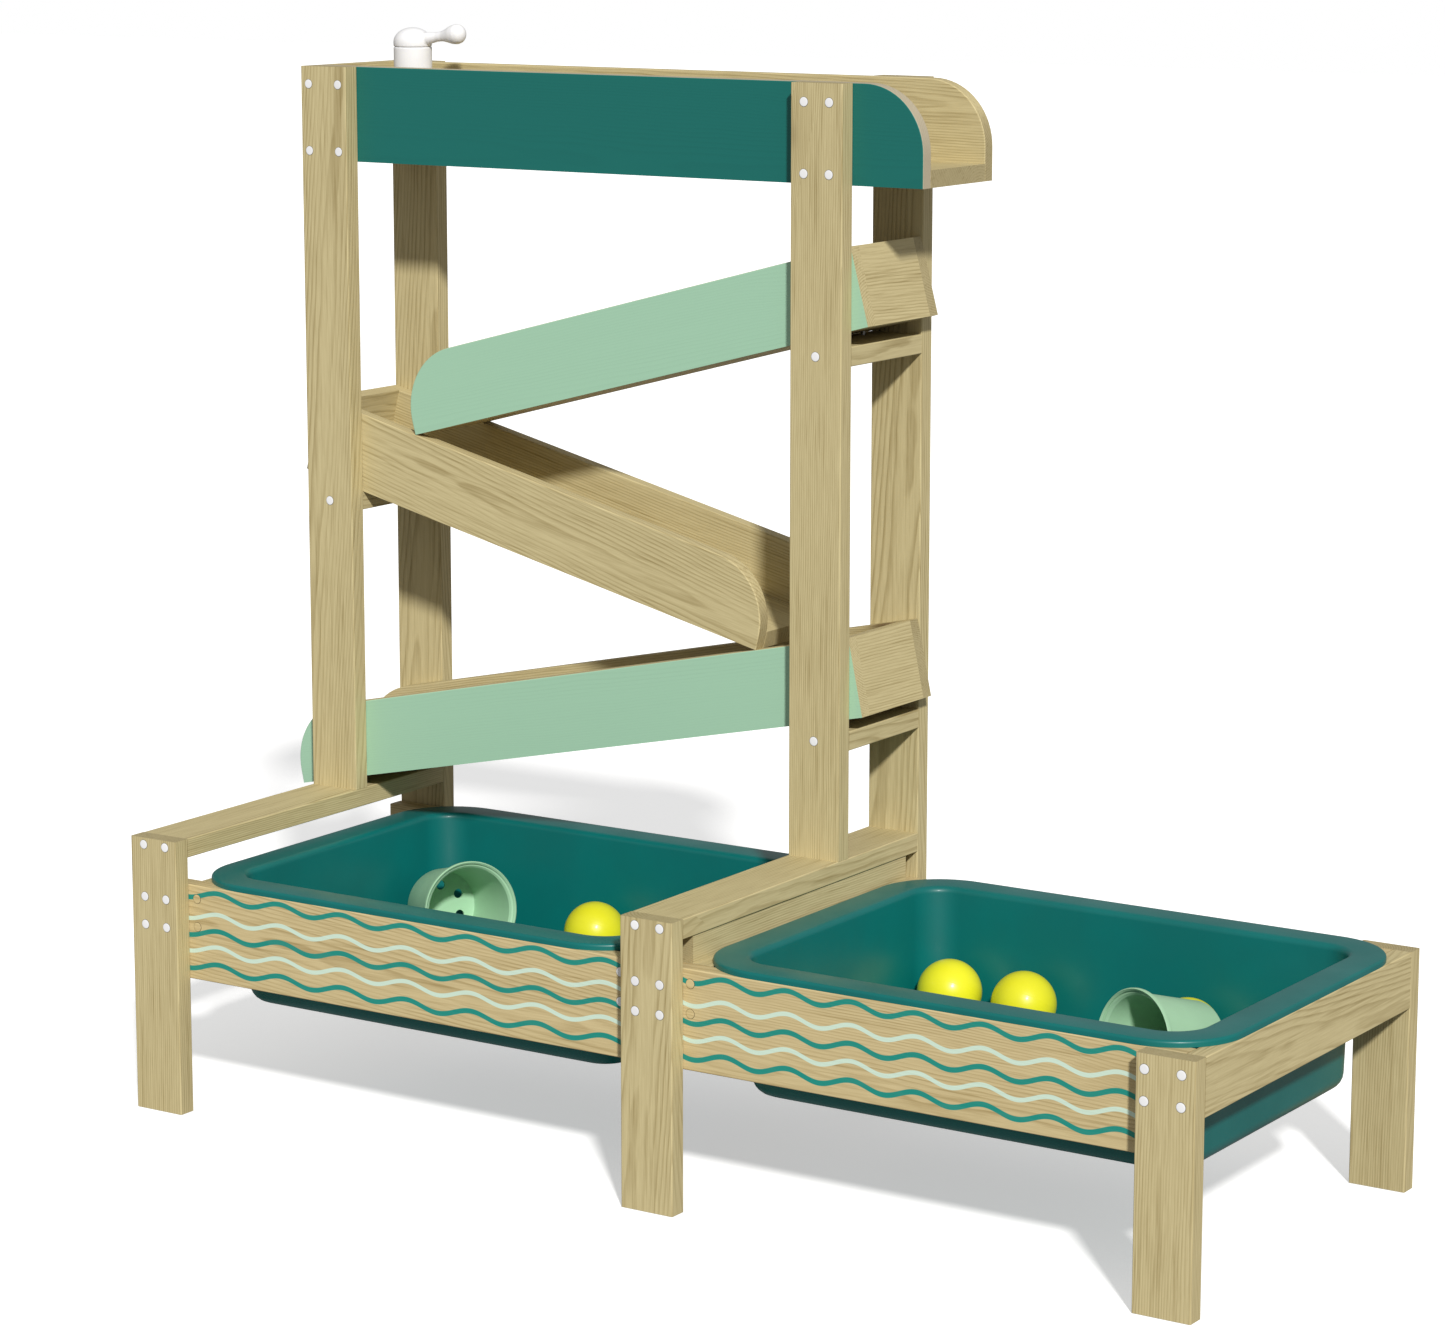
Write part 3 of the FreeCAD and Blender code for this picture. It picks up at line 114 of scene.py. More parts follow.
class PlasticSettings(bpy.types.PropertyGroup):
    """Colours and sizes of the moulded pieces."""
    tub: colour_property("Tub", "Plastic of the tubs", 4, 106, 103)
    cup: colour_property("Cup", "Plastic of the cups", 163, 204, 168)
    ball: colour_property("Ball", "Plastic of the balls", 232, 228, 40)
    white: colour_property("White", "Plastic of the tap and the cover caps", 244, 244, 246)
    tub_wall: length_property("Tub wall", "Thickness of a tub", 0.003)
    rim_corner: length_property("Rim corner", "Corner radius of a tub's rim", 0.070)
    rim_width: length_property("Rim width", "Outer edge of the rim to the tub's wall", 0.036)
    tap_knob: length_property("Tap knob", "Diameter of the knob on the tap's lever", 0.021)
    cup_mouth: length_property("Cup mouth", "Diameter of a cup's lip", 0.104)
    cup_base: length_property("Cup bottom", "Diameter of a cup's bottom", 0.080)
    cup_length: length_property("Cup length", "Lip to bottom of a cup", 0.082)


class StudioSettings(bpy.types.PropertyGroup):
    """Floor, lights and camera."""
    floor: colour_property("Floor", "Colour of the floor", 246, 246, 246)
    key_power: bpy.props.FloatProperty(name="Key", description="Strength of the sun-like key light",
                                       default=3.5, min=0.0)
    sky_power: bpy.props.FloatProperty(name="Sky", description="Strength of the light all round",
                                       default=0.34, min=0.0)
    floor_bounce: bpy.props.FloatProperty(name="Floor bounce", default=0.30, min=0.0, max=1.0,
                                          description="Share of its light that the floor throws back")
    floor_lift: bpy.props.FloatProperty(name="Floor lift", default=0.46, min=0.0,
                                        description="Light that the floor adds where it is seen")
    lens: bpy.props.FloatProperty(name="Lens", description="Focal length in millimetres on a 36 mm sensor",
                                  default=105.6, min=10.0, max=300.0)


# ------------------------------------------------------------- shader helpers

class Weave:
    """Adds shader nodes to a tree and joins them up."""

    def __init__(self, tree):
        self.tree = tree

    def add(self, kind, **settings):
        made = self.tree.nodes.new(kind)
        for name, value in settings.items():
            setattr(made, name, value)
        return made

    def feed(self, socket, value):
        if isinstance(value, bpy.types.NodeSocket):
            self.tree.links.new(value, socket)
        elif value is not None:
            wide = socket.type == "RGBA" and len(value) == 3
            socket.default_value = (*value, 1.0) if wide else value

    def math(self, operation, first, second=None, third=None, clamp=False):
        made = self.add("ShaderNodeMath", operation=operation, use_clamp=clamp)
        for socket, value in zip(made.inputs, (first, second, third)):
            self.feed(socket, value)
        return made.outputs[0]

    def vector_math(self, operation, first, second=None):
        made = self.add("ShaderNodeVectorMath", operation=operation)
        for socket, value in zip(made.inputs, (first, second)):
            self.feed(socket, value)
        return made.outputs[1] if operation in ("DOT_PRODUCT", "LENGTH") else made.outputs[0]

    def noise(self, place, scale, detail=2.0, roughness=0.5):
        made = self.add("ShaderNodeTexNoise")
        self.feed(made.inputs["Vector"], place)
        made.inputs["Scale"].default_value = scale
        made.inputs["Detail"].default_value = detail
        made.inputs["Roughness"].default_value = roughness
        return made.outputs["Fac"]

    def mix(self, share, first, second, blend="MIX"):
        made = self.add("ShaderNodeMix", data_type="RGBA", blend_type=blend)
        self.feed(made.inputs["Factor"], share)
        self.feed(made.inputs["A"], first)
        self.feed(made.inputs["B"], second)
        return made.outputs["Result"]

    def spread(self, value, low, high, new_low=0.0, new_high=1.0, smooth=False):
        made = self.add("ShaderNodeMapRange", interpolation_type="SMOOTHSTEP" if smooth else "LINEAR")
        for socket, number in zip(made.inputs, (value, low, high, new_low, new_high)):
            self.feed(socket, number)
        return made.outputs[0]

    def split(self, vector):
        made = self.add("ShaderNodeSeparateXYZ")
        self.feed(made.inputs[0], vector)
        return made.outputs

    def join(self, x, y, z):
        made = self.add("ShaderNodeCombineXYZ")
        for socket, value in zip(made.inputs, (x, y, z)):
            self.feed(socket, value)
        return made.outputs[0]


def node_group(name, inputs, outputs):
    """An empty shader node group with the sockets asked for, each (name, kind, default)."""
    tree = bpy.data.node_groups.new(name, "ShaderNodeTree")
    for title, kind, default in inputs:
        socket = tree.interface.new_socket(title, in_out="INPUT", socket_type=kind)
        if default is not None:
            socket.default_value = default
    for title, kind in outputs:
        tree.interface.new_socket(title, in_out="OUTPUT", socket_type=kind)
    weave = Weave(tree)
    return tree, weave, weave.add("NodeGroupInput").outputs, weave.add("NodeGroupOutput").inputs


def sawn_softwood_group():
    """Growth rings round a pith that runs along X, with fibres, tone and a few knots."""
    tree, weave, given, made = node_group(
        "Sawn softwood",
        [("Place", "NodeSocketVector", None), ("Ring gap", "NodeSocketFloat", 0.003),
         ("Tilt", "NodeSocketFloat", 0.05), ("Early", "NodeSocketColor", None),
         ("Late", "NodeSocketColor", None), ("Knot", "NodeSocketColor", None)],
        [("Colour", "NodeSocketColor"), ("Height", "NodeSocketFloat"), ("Dryness", "NodeSocketFloat")])

    def stretch(along, across):
        return weave.vector_math("MULTIPLY", given["Place"], (along, across, across))

    x, y, z = weave.split(given["Place"])
    cells = weave.add("ShaderNodeTexVoronoi", feature="F1")
    weave.feed(cells.inputs["Vector"], stretch(9.0, 26.0))
    cells.inputs["Scale"].default_value = 1.0
    chance = weave.spread(weave.split(cells.outputs["Color"])[0], 0.93, 0.935)
    knot = weave.math("MULTIPLY", weave.spread(cells.outputs["Distance"], 0.26, 0.04, smooth=True), chance)
    bulge = weave.math("MULTIPLY", weave.spread(cells.outputs["Distance"], 0.75, 0.0, smooth=True), chance)
    slow = weave.noise(stretch(4.0, 14.0), 1.0, 2.0)
    fast = weave.noise(stretch(22.0, 110.0), 1.0, 2.0)
    leaning = weave.math("MULTIPLY_ADD", x, given["Tilt"], z)
    reach = weave.vector_math("LENGTH", weave.join(0.0, y, leaning))
    reach = weave.math("MULTIPLY_ADD", weave.math("SUBTRACT", slow, 0.5), 0.010, reach)
    reach = weave.math("MULTIPLY_ADD", weave.math("SUBTRACT", fast, 0.5), 0.0013, reach)
    reach = weave.math("MULTIPLY_ADD", bulge, 0.007, reach)
    phase = weave.math("FRACT", weave.math("DIVIDE", reach, given["Ring gap"]))
    slope_up = weave.spread(phase, 0.30, 0.88, smooth=True)
    slope_down = weave.spread(phase, 1.0, 0.90)
    line = weave.math("MULTIPLY", weave.math("POWER", slope_up, 1.7), slope_down)
    strength = weave.noise(stretch(3.0, 60.0), 1.0, 1.0)
    line = weave.math("MULTIPLY", line, weave.spread(strength, 0.30, 0.62, 0.25, 0.80))
    fibre = weave.noise(stretch(30.0, 800.0), 1.0, 3.0, 0.6)
    streak = weave.noise(stretch(9.0, 330.0), 1.0, 2.0)
    tone = weave.noise(stretch(1.6, 24.0), 1.0, 2.0)
    share = weave.math("MULTIPLY_ADD", weave.math("SUBTRACT", fibre, 0.5), 0.80,
                       weave.math("MULTIPLY_ADD", line, 0.62, 0.12), clamp=True)
    share = weave.math("MULTIPLY_ADD", weave.spread(streak, 0.56, 0.70), 0.30, share, clamp=True)
    share = weave.math("MULTIPLY_ADD", weave.math("SUBTRACT", tone, 0.5), 0.24, share, clamp=True)
    wood = weave.mix(share, given["Early"], given["Late"])
    wood = weave.mix(weave.math("MULTIPLY", bulge, 0.35), wood, given["Late"])
    weave.feed(made["Colour"], weave.mix(weave.math("MULTIPLY", knot, 0.85), wood, given["Knot"]))
    weave.feed(made["Height"], weave.math("MULTIPLY_ADD", fibre, 0.5, weave.math("MULTIPLY", line, 0.5)))
    weave.feed(made["Dryness"], weave.spread(share, 0.0, 1.0, 0.66, 0.50))
    return tree


DEEP_DEPTHS = (0.0090, 0.0480, 0.0826)   # dark lines below a panel's top edge
FOAM_DEPTHS = (0.0308, 0.0646)           # pale lines below it
INK_BLEED = 0.00022                      # half the soft edge of a line


def wave_print_group():
    """Masks of five wave lines under a panel's top edge: three dark and two pale."""
    tree, weave, given, made = node_group(
        "Wave print",
        [("Along", "NodeSocketFloat", 0.0), ("Down", "NodeSocketFloat", 0.0),
         ("Wavelength", "NodeSocketFloat", 0.07), ("Rise", "NodeSocketFloat", 0.004),
         ("Broad", "NodeSocketFloat", 0.005), ("Fine", "NodeSocketFloat", 0.004)],
        [("Deep", "NodeSocketFloat"), ("Foam", "NodeSocketFloat")])
    turns = weave.math("DIVIDE", given["Along"], given["Wavelength"])
    wave = weave.math("COSINE", weave.math("MULTIPLY", turns, 2 * math.pi))
    level = weave.math("MULTIPLY_ADD", wave, given["Rise"], given["Down"])

    def lines(depths, width):
        mask = None
        for depth in depths:
            off = weave.math("ABSOLUTE", weave.math("SUBTRACT", level, depth))
            edge = weave.math("SUBTRACT", off, weave.math("MULTIPLY", width, 0.5))
            one = weave.spread(edge, INK_BLEED, -INK_BLEED)
            mask = one if mask is None else weave.math("MAXIMUM", mask, one)
        return mask

    weave.feed(made["Deep"], lines(DEEP_DEPTHS, given["Broad"]))
    weave.feed(made["Foam"], lines(FOAM_DEPTHS, given["Fine"]))
    return tree


def moulded_skin_group():
    """The faint orange-peel and cloudy tone of moulded plastic."""
    tree, weave, given, made = node_group(
        "Moulded skin",
        [("Place", "NodeSocketVector", None), ("Colour", "NodeSocketColor", None)],
        [("Colour", "NodeSocketColor"), ("Height", "NodeSocketFloat"), ("Roughening", "NodeSocketFloat")])
    peel = weave.noise(given["Place"], 900.0, 2.0)
    cloud = weave.noise(given["Place"], 14.0, 3.0)
    darker = weave.mix(0.10, given["Colour"], (0.0, 0.0, 0.0))
    weave.feed(made["Colour"], weave.mix(weave.spread(cloud, 0.35, 0.65), given["Colour"], darker))
    weave.feed(made["Height"], peel)
    weave.feed(made["Roughening"], weave.spread(cloud, 0.3, 0.7, 0.0, 0.08))
    return tree


GROUPS = {}


def group_named(name, maker):
    """A shared node group, made the first time it is asked for."""
    if name not in GROUPS:
        GROUPS[name] = maker()
    return GROUPS[name]


def blank_material(name):
    """A new material with only its surface shader, and a helper to add nodes."""
    material = bpy.data.materials.new(name)
    material.use_nodes = True
    tree = material.node_tree
    tree.nodes.clear()
    weave = Weave(tree)
    surface = weave.add("ShaderNodeBsdfPrincipled")
    output = weave.add("ShaderNodeOutputMaterial")
    tree.links.new(surface.outputs[0], output.inputs["Surface"])
    return material, weave, surface


def use_group(weave, name, maker, **values):
    made = weave.add("ShaderNodeGroup", node_tree=group_named(name, maker))
    for title, value in values.items():
        weave.feed(made.inputs[title.replace("_", " ")], value)
    return made.outputs


def dress(weave, surface, colour, roughness, shine, relief=None):
    """Feeds a surface its colour, roughness, shine and, as (height, strength, depth), its relief."""
    weave.feed(surface.inputs["Base Color"], colour)
    weave.feed(surface.inputs["Roughness"], roughness)
    surface.inputs["Specular IOR Level"].default_value = shine
    if relief:
        bump = weave.add("ShaderNodeBump")
        for title, value in zip(("Height", "Strength", "Distance"), relief):
            weave.feed(bump.inputs[title], value)
        weave.tree.links.new(bump.outputs[0], surface.inputs["Normal"])


def grain_turn(axis, slope=0.0):
    """The turn that brings a board's own grain onto X."""
    if axis == "Z":
        return Euler((0.0, math.radians(90), 0.0))
    if axis == "Y":
        return Euler((0.0, 0.0, math.radians(-90)))
    return Euler((0.0, math.radians(-slope), 0.0))


def wood_on(name, weave, axis, slope=0.0, kind="wood"):
    """Softwood figure of a kind, wood or panel: its pith lies just outside the board."""
    timber = bpy.context.scene.wave_timber
    panel = kind == "panel"
    early = timber.panel_early if panel else timber.early_wood
    late = timber.panel_late if panel else timber.late_wood
    dice = random.Random(name)
    low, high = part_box(name)
    size = high - low
    thin = min(range(3), key=lambda side: size[side])
    if slope:
        thin = 1
    across = {"X": (1, 2), "Y": (0, 2), "Z": (0, 1)}[axis]
    pith = (low + high) / 2
    arched = name in ARCHED
    for side in across:
        sign = dice.choice((-1, 1))
        if side == thin:
            pith[side] += sign * (dice.uniform(0.022, 0.034) if arched else dice.uniform(0.012, 0.030))
        else:
            pith[side] += sign * (dice.uniform(0.0, 0.014) if arched else dice.uniform(0.030, 0.058))
    turn = grain_turn(axis, slope)
    matrix = turn.to_matrix()
    coordinates = weave.add("ShaderNodeTexCoord")
    mapping = weave.add("ShaderNodeMapping", vector_type="POINT")
    mapping.inputs["Rotation"].default_value = turn
    mapping.inputs["Location"].default_value = -(matrix @ pith)
    weave.tree.links.new(coordinates.outputs["Object"], mapping.inputs["Vector"])
    return use_group(weave, "Sawn softwood", sawn_softwood_group, Place=mapping.outputs[0],
                     Ring_gap=timber.ring_gap * (1.35 if arched else dice.uniform(0.85, 1.15)),
                     Tilt=0.085 if arched else dice.uniform(0.004, 0.025),
                     Early=tuple(early), Late=tuple(late), Knot=tuple(timber.knot))


def facing(weave, axis):
    """How squarely the surface faces along an axis, from -1 to 1."""
    geometry = weave.add("ShaderNodeNewGeometry")
    return weave.vector_math("DOT_PRODUCT", geometry.outputs["Normal"], tuple(axis))


def grain_axis(axis, slope):
    if slope:
        return Vector((math.cos(math.radians(slope)), 0.0, -math.sin(math.radians(slope))))
    return BOARD_END_AXES[axis]


def end_grain(weave, colour, axis, slope):
    """Darkens the sawn ends, where the grain meets the surface head on."""
    square = weave.math("ABSOLUTE", facing(weave, grain_axis(axis, slope)))
    mask = weave.spread(square, 0.80, 0.95)
    return weave.mix(weave.math("MULTIPLY", mask, 0.30), colour, (0.10, 0.07, 0.03))


def bare_timber(name, axis, slope=0.0):
    """Planed softwood for one board."""
    material, weave, surface = blank_material(f"softwood_{name}")
    wood = wood_on(name, weave, axis, slope)
    colour = end_grain(weave, wood["Colour"], axis, slope)
    dress(weave, surface, colour, wood["Dryness"], 0.30, (wood["Height"], 0.35, 0.0004))
    return material


def painted_timber(name, slope, paint, telegraph, greying):
    """A board with its outer face painted and its bare cut edges greyed by that share."""
    paints = bpy.context.scene.wave_paint
    material, weave, surface = blank_material(f"painted_{name}")
    wood = wood_on(name, weave, "X", slope)
    outward = facing(weave, (0, -1, 0))
    painted = weave.spread(outward, 0.55, 0.75)
    edge = weave.spread(weave.math("ABSOLUTE", outward), 0.75, 0.55)
    bare = weave.mix(weave.math("MULTIPLY", edge, greying), wood["Colour"], tuple(paints.cut_edge))
    shade = weave.mix(weave.math("MULTIPLY", wood["Height"], telegraph), paint, (0.0, 0.0, 0.0))
    dress(weave, surface, weave.mix(painted, bare, shade), weave.spread(painted, 0.0, 1.0, 0.62, 0.42),
          0.35, (wood["Height"], 0.22, 0.0003))
    return material


def printed_panel(name, start, length, phase):
    """Softwood with wave lines printed on its outer face."""
    waves = bpy.context.scene.wave_print
    material, weave, surface = blank_material(f"printed_{name}")
    wood = wood_on(name, weave, "X", kind="panel")
    wood_colour = end_grain(weave, wood["Colour"], "X", 0.0)
    x, y, z = weave.split(weave.add("ShaderNodeTexCoord").outputs["Object"])
    wavelength = length / waves.waves
    along = weave.math("SUBTRACT", x, start + phase * wavelength)
    down = weave.math("SUBTRACT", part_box(name)[1].z, z)
    masks = use_group(weave, "Wave print", wave_print_group, Along=along, Down=down,
                      Wavelength=wavelength, Rise=waves.rise, Broad=waves.broad_line,
                      Fine=waves.fine_line)
    outward = (0, -1, 0) if name.startswith("front") else (0, 1, 0)
    face = weave.spread(facing(weave, outward), 0.80, 0.95)
    worn = weave.spread(wood["Height"], 0.1, 0.9, 1.0, 0.93)
    deep = weave.math("MULTIPLY", weave.math("MULTIPLY", masks["Deep"], face), worn)
    foam = weave.math("MULTIPLY", weave.math("MULTIPLY", masks["Foam"], face), worn)
    colour = weave.mix(deep, wood_colour, tuple(waves.deep))
    ink = weave.math("MAXIMUM", deep, foam)
    dress(weave, surface, weave.mix(foam, colour, tuple(waves.foam)),
          weave.spread(ink, 0.0, 1.0, 0.60, 0.45), 0.30, (wood["Height"], 0.30, 0.0004))
    return material


def moulded_skin(weave, colour):
    place = weave.add("ShaderNodeTexCoord").outputs["Object"]
    return use_group(weave, "Moulded skin", moulded_skin_group, Place=place, Colour=colour)


def moulded_plastic(name, colour, roughness, coat=0.0, glow=0.0):
    """Moulded plastic of one colour."""
    material, weave, surface = blank_material(name)
    skin = moulded_skin(weave, colour)
    dress(weave, surface, skin["Colour"], weave.math("ADD", skin["Roughening"], roughness), 0.36,
          (skin["Height"], 0.10, 0.0002))
    surface.inputs["Coat Weight"].default_value = coat
    surface.inputs["Coat Roughness"].default_value = 0.15
    surface.inputs["Subsurface Weight"].default_value = glow
    surface.inputs["Subsurface Radius"].default_value = (0.004, 0.004, 0.003)
    return material


CAP_GAP_SHADE = (112, 108, 96)    # painted shade: the thin dark line round a cap in its hole
PLUG_GAP_SHADE = (88, 72, 44)     # and the painted shade round a wooden plug in its hole


def gap_shaded_cover(weave, surface, colour, roughness, shine, ring):
    """Paints shade on a cover's turned-down edge, so a thin dark line of painted shadow shows round it in
    its hole.
    """
    # Faces that turn away from the front take the painted shade colour; the flat face keeps its own colour.
    flat = weave.spread(weave.math("ABSOLUTE", facing(weave, (0, -1, 0))), 0.80, 0.97)
    dress(weave, surface, weave.mix(flat, linear(*ring), colour), roughness, shine)


def gap_shaded_plug():
    """Wooden plug with painted shade: the dark line of shadow round it in its hole."""
    material, weave, surface = blank_material("wood_plug")
    wood = wood_on("wood_plugs", weave, "X", kind="panel")
    gap_shaded_cover(weave, surface, wood["Colour"], wood["Dryness"], 0.25, PLUG_GAP_SHADE)
    return material


def gap_shaded_cap():
    """White plastic cap with painted shade: a thin dark line of shadow round it."""
    material, weave, surface = blank_material("cap_plastic")
    skin = moulded_skin(weave, tuple(bpy.context.scene.wave_plastic.white))
    gap_shaded_cover(weave, surface, skin["Colour"], weave.math("ADD", skin["Roughening"], 0.40), 0.30, CAP_GAP_SHADE)
    return material


def zinc_plate():
    """Zinc-plated steel for the few metal pieces."""
    material, weave, surface = blank_material("zinc_plate")
    place = weave.add("ShaderNodeTexCoord").outputs["Object"]
    bloom = weave.noise(place, 350.0, 3.0)
    weave.feed(surface.inputs["Base Color"],
               weave.mix(bloom, linear(205, 205, 200), linear(150, 152, 155)))
    weave.feed(surface.inputs["Roughness"], weave.spread(bloom, 0.3, 0.7, 0.28, 0.45))
    surface.inputs["Metallic"].default_value = 1.0
    return material


def give_material(thing, material):
    thing.data.materials.clear()
    thing.data.materials.append(material)


def give_node_material(name, material):
    """Puts a material in every slot of a carried-over node."""
    slots = NODES[name].material_slots
    for slot in slots:
        slot.link = "DATA"
        slot.material = material
    if not slots:
        NODES[name].data.materials.append(material)


# ------------------------------------------------------------ modelling tools

def clear_selection():
    if bpy.context.object and bpy.context.object.mode != "OBJECT":
        bpy.ops.object.mode_set(mode="OBJECT")
    bpy.ops.object.select_all(action="DESELECT")


def pick(piece, kind, wanted):
    """Selects the vertices, edges or faces for which wanted(element) holds, in edit mode."""
    bpy.ops.mesh.select_mode(type=kind)
    bpy.ops.mesh.select_all(action="DESELECT")
    mesh = bmesh.from_edit_mesh(piece.data)
    elements = {"VERT": mesh.verts, "EDGE": mesh.edges, "FACE": mesh.faces}[kind]
    count = 0
    for element in elements:
        if wanted(element):
            element.select = True
            count += 1
    mesh.select_flush_mode()
    bmesh.update_edit_mesh(piece.data)
    if not count:
        raise RuntimeError(f"{piece.name}: nothing to pick")


def level_loop(height, tolerance=1e-5):
    """Tests for an edge that lies level at a height."""
    def test(edge):
        return all(abs(vertex.co.z - height) < tolerance for vertex in edge.verts)
    return test


def finish_mesh(piece, angle=30.0):
    """Welds, turns faces outwards, shades and settles a finished piece at the origin."""
    clear_selection()
    piece.select_set(True)
    bpy.context.view_layer.objects.active = piece
    bpy.ops.object.mode_set(mode="EDIT")
    bpy.ops.mesh.select_all(action="SELECT")
    bpy.ops.mesh.remove_doubles(threshold=1e-6)
    bpy.ops.mesh.normals_make_consistent(inside=False)
    bpy.ops.object.mode_set(mode="OBJECT")
    bpy.ops.object.transform_apply(location=True, rotation=True, scale=True)
    bpy.ops.object.shade_smooth_by_angle(angle=math.radians(angle))


def apply_modifier(piece, kind, **settings):
    """Adds one modifier and applies it."""
    clear_selection()
    piece.select_set(True)
    bpy.context.view_layer.objects.active = piece
    modifier = piece.modifiers.new(kind.title(), kind)
    for name, value in settings.items():
        setattr(modifier, name, value)
    bpy.ops.object.modifier_apply(modifier=modifier.name)


def begin(name):
    """Names the primitive just added and opens it for editing."""
    piece = bpy.context.object
    piece.name = name
    piece.data.name = name
    bpy.ops.object.mode_set(mode="EDIT")
    return piece


def extrude(z):
    bpy.ops.mesh.extrude_region_move(TRANSFORM_OT_translate={"value": (0.0, 0.0, z)})


def scale(factor_x, factor_y, centre):
    bpy.ops.transform.resize(value=(factor_x, factor_y, 1.0), center_override=centre)


def box_of(places):
    """Lowest and highest corner of some points."""
    return [Vector([pick_end(place[side] for place in places) for side in range(3)])
            for pick_end in (min, max)]


def settle(piece, name, body):
    """Hangs a finished piece on its body in place of the carried-over node."""
    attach(piece, body)
    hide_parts(name)


WALL_DRAFT = 1.5         # lean of a tub's walls, in degrees
HEEL_ROUND = 0.013       # rounding where a tub's walls meet its floor
RIM_ROUND = 0.006        # rounding where its rim turns down into the walls
LIP_DROP = 0.0062        # lip hanging from the rim's outer edge
LIP_ROUND = 0.0028       # rounding along that edge


def mould_tub(name):
    """Tub shaped from one flat sheet: rim, rolled lip, drafted walls and a rounded heel."""
    plastics = bpy.context.scene.wave_plastic
    low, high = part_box(name)
    middle = (low + high) / 2
    wall = plastics.tub_wall
    clear_selection()
    bpy.ops.mesh.primitive_plane_add(size=1.0, location=(middle.x, middle.y, high.z))
    tub = begin(f"{name}_moulding")
    bpy.ops.transform.resize(value=(high.x - low.x, high.y - low.y, 1.0))
    bpy.ops.object.mode_set(mode="OBJECT")
    bpy.ops.object.transform_apply(location=True, rotation=True, scale=True)
    bpy.ops.object.mode_set(mode="EDIT")
    bpy.ops.mesh.select_all(action="SELECT")
    bpy.ops.mesh.bevel(offset=plastics.rim_corner, segments=14, affect="VERTICES")
    bpy.ops.mesh.select_all(action="SELECT")
    bpy.ops.mesh.inset(thickness=plastics.rim_width)
    inner = max(vertex.co.x for vertex in bmesh.from_edit_mesh(tub.data).verts if vertex.select)
    centre = (middle.x, middle.y, high.z)
    depth = high.z - low.z - wall
    draft = 1.0 - 2.0 * depth * math.tan(math.radians(WALL_DRAFT)) / (2.0 * (inner - middle.x))
    extrude(-depth)
    scale(draft, draft, centre)
    floor_z = low.z + wall
    pick(tub, "EDGE", lambda edge: level_loop(floor_z)(edge) and edge.is_manifold)
    bpy.ops.mesh.bevel(offset=HEEL_ROUND, segments=6, affect="EDGES")

    def steep_beside(edge):
        return len(edge.link_faces) == 2 and min(abs(face.normal.z) for face in edge.link_faces) < 0.5

    def rim_to_wall(edge):
        near = max(abs(vertex.co.x - middle.x) for vertex in edge.verts) < inner - middle.x + 1e-4
        flat = edge.link_faces and max(abs(face.normal.z) for face in edge.link_faces) > 0.5
        return level_loop(high.z)(edge) and near and steep_beside(edge) and flat

    pick(tub, "EDGE", rim_to_wall)
    bpy.ops.mesh.bevel(offset=RIM_ROUND, segments=5, affect="EDGES")
    pick(tub, "EDGE", lambda edge: edge.is_boundary)
    extrude(-LIP_DROP)
    pick(tub, "EDGE", lambda edge: level_loop(high.z)(edge) and steep_beside(edge))
    bpy.ops.mesh.bevel(offset=LIP_ROUND, segments=4, affect="EDGES")
    bpy.ops.object.mode_set(mode="OBJECT")
    finish_mesh(tub)
    apply_modifier(tub, "SOLIDIFY", thickness=wall, offset=-1.0, use_even_offset=True)
    finish_mesh(tub, 35.0)
    return tub


CUP_CHAMFER = 0.004      # bevel round a cup's bottom
CUP_BOTTOM_RING = 0.010  # ring round the flat of its bottom
CUP_LIP = 0.004          # lip standing out past its wall
CUP_WALL = 0.0025        # thickness of a cup
SIEVE_HOLES = 6
SIEVE_HOLE = 0.005       # radius of one hole
SIEVE_RING = 0.0224      # radius of the circle the holes lie on


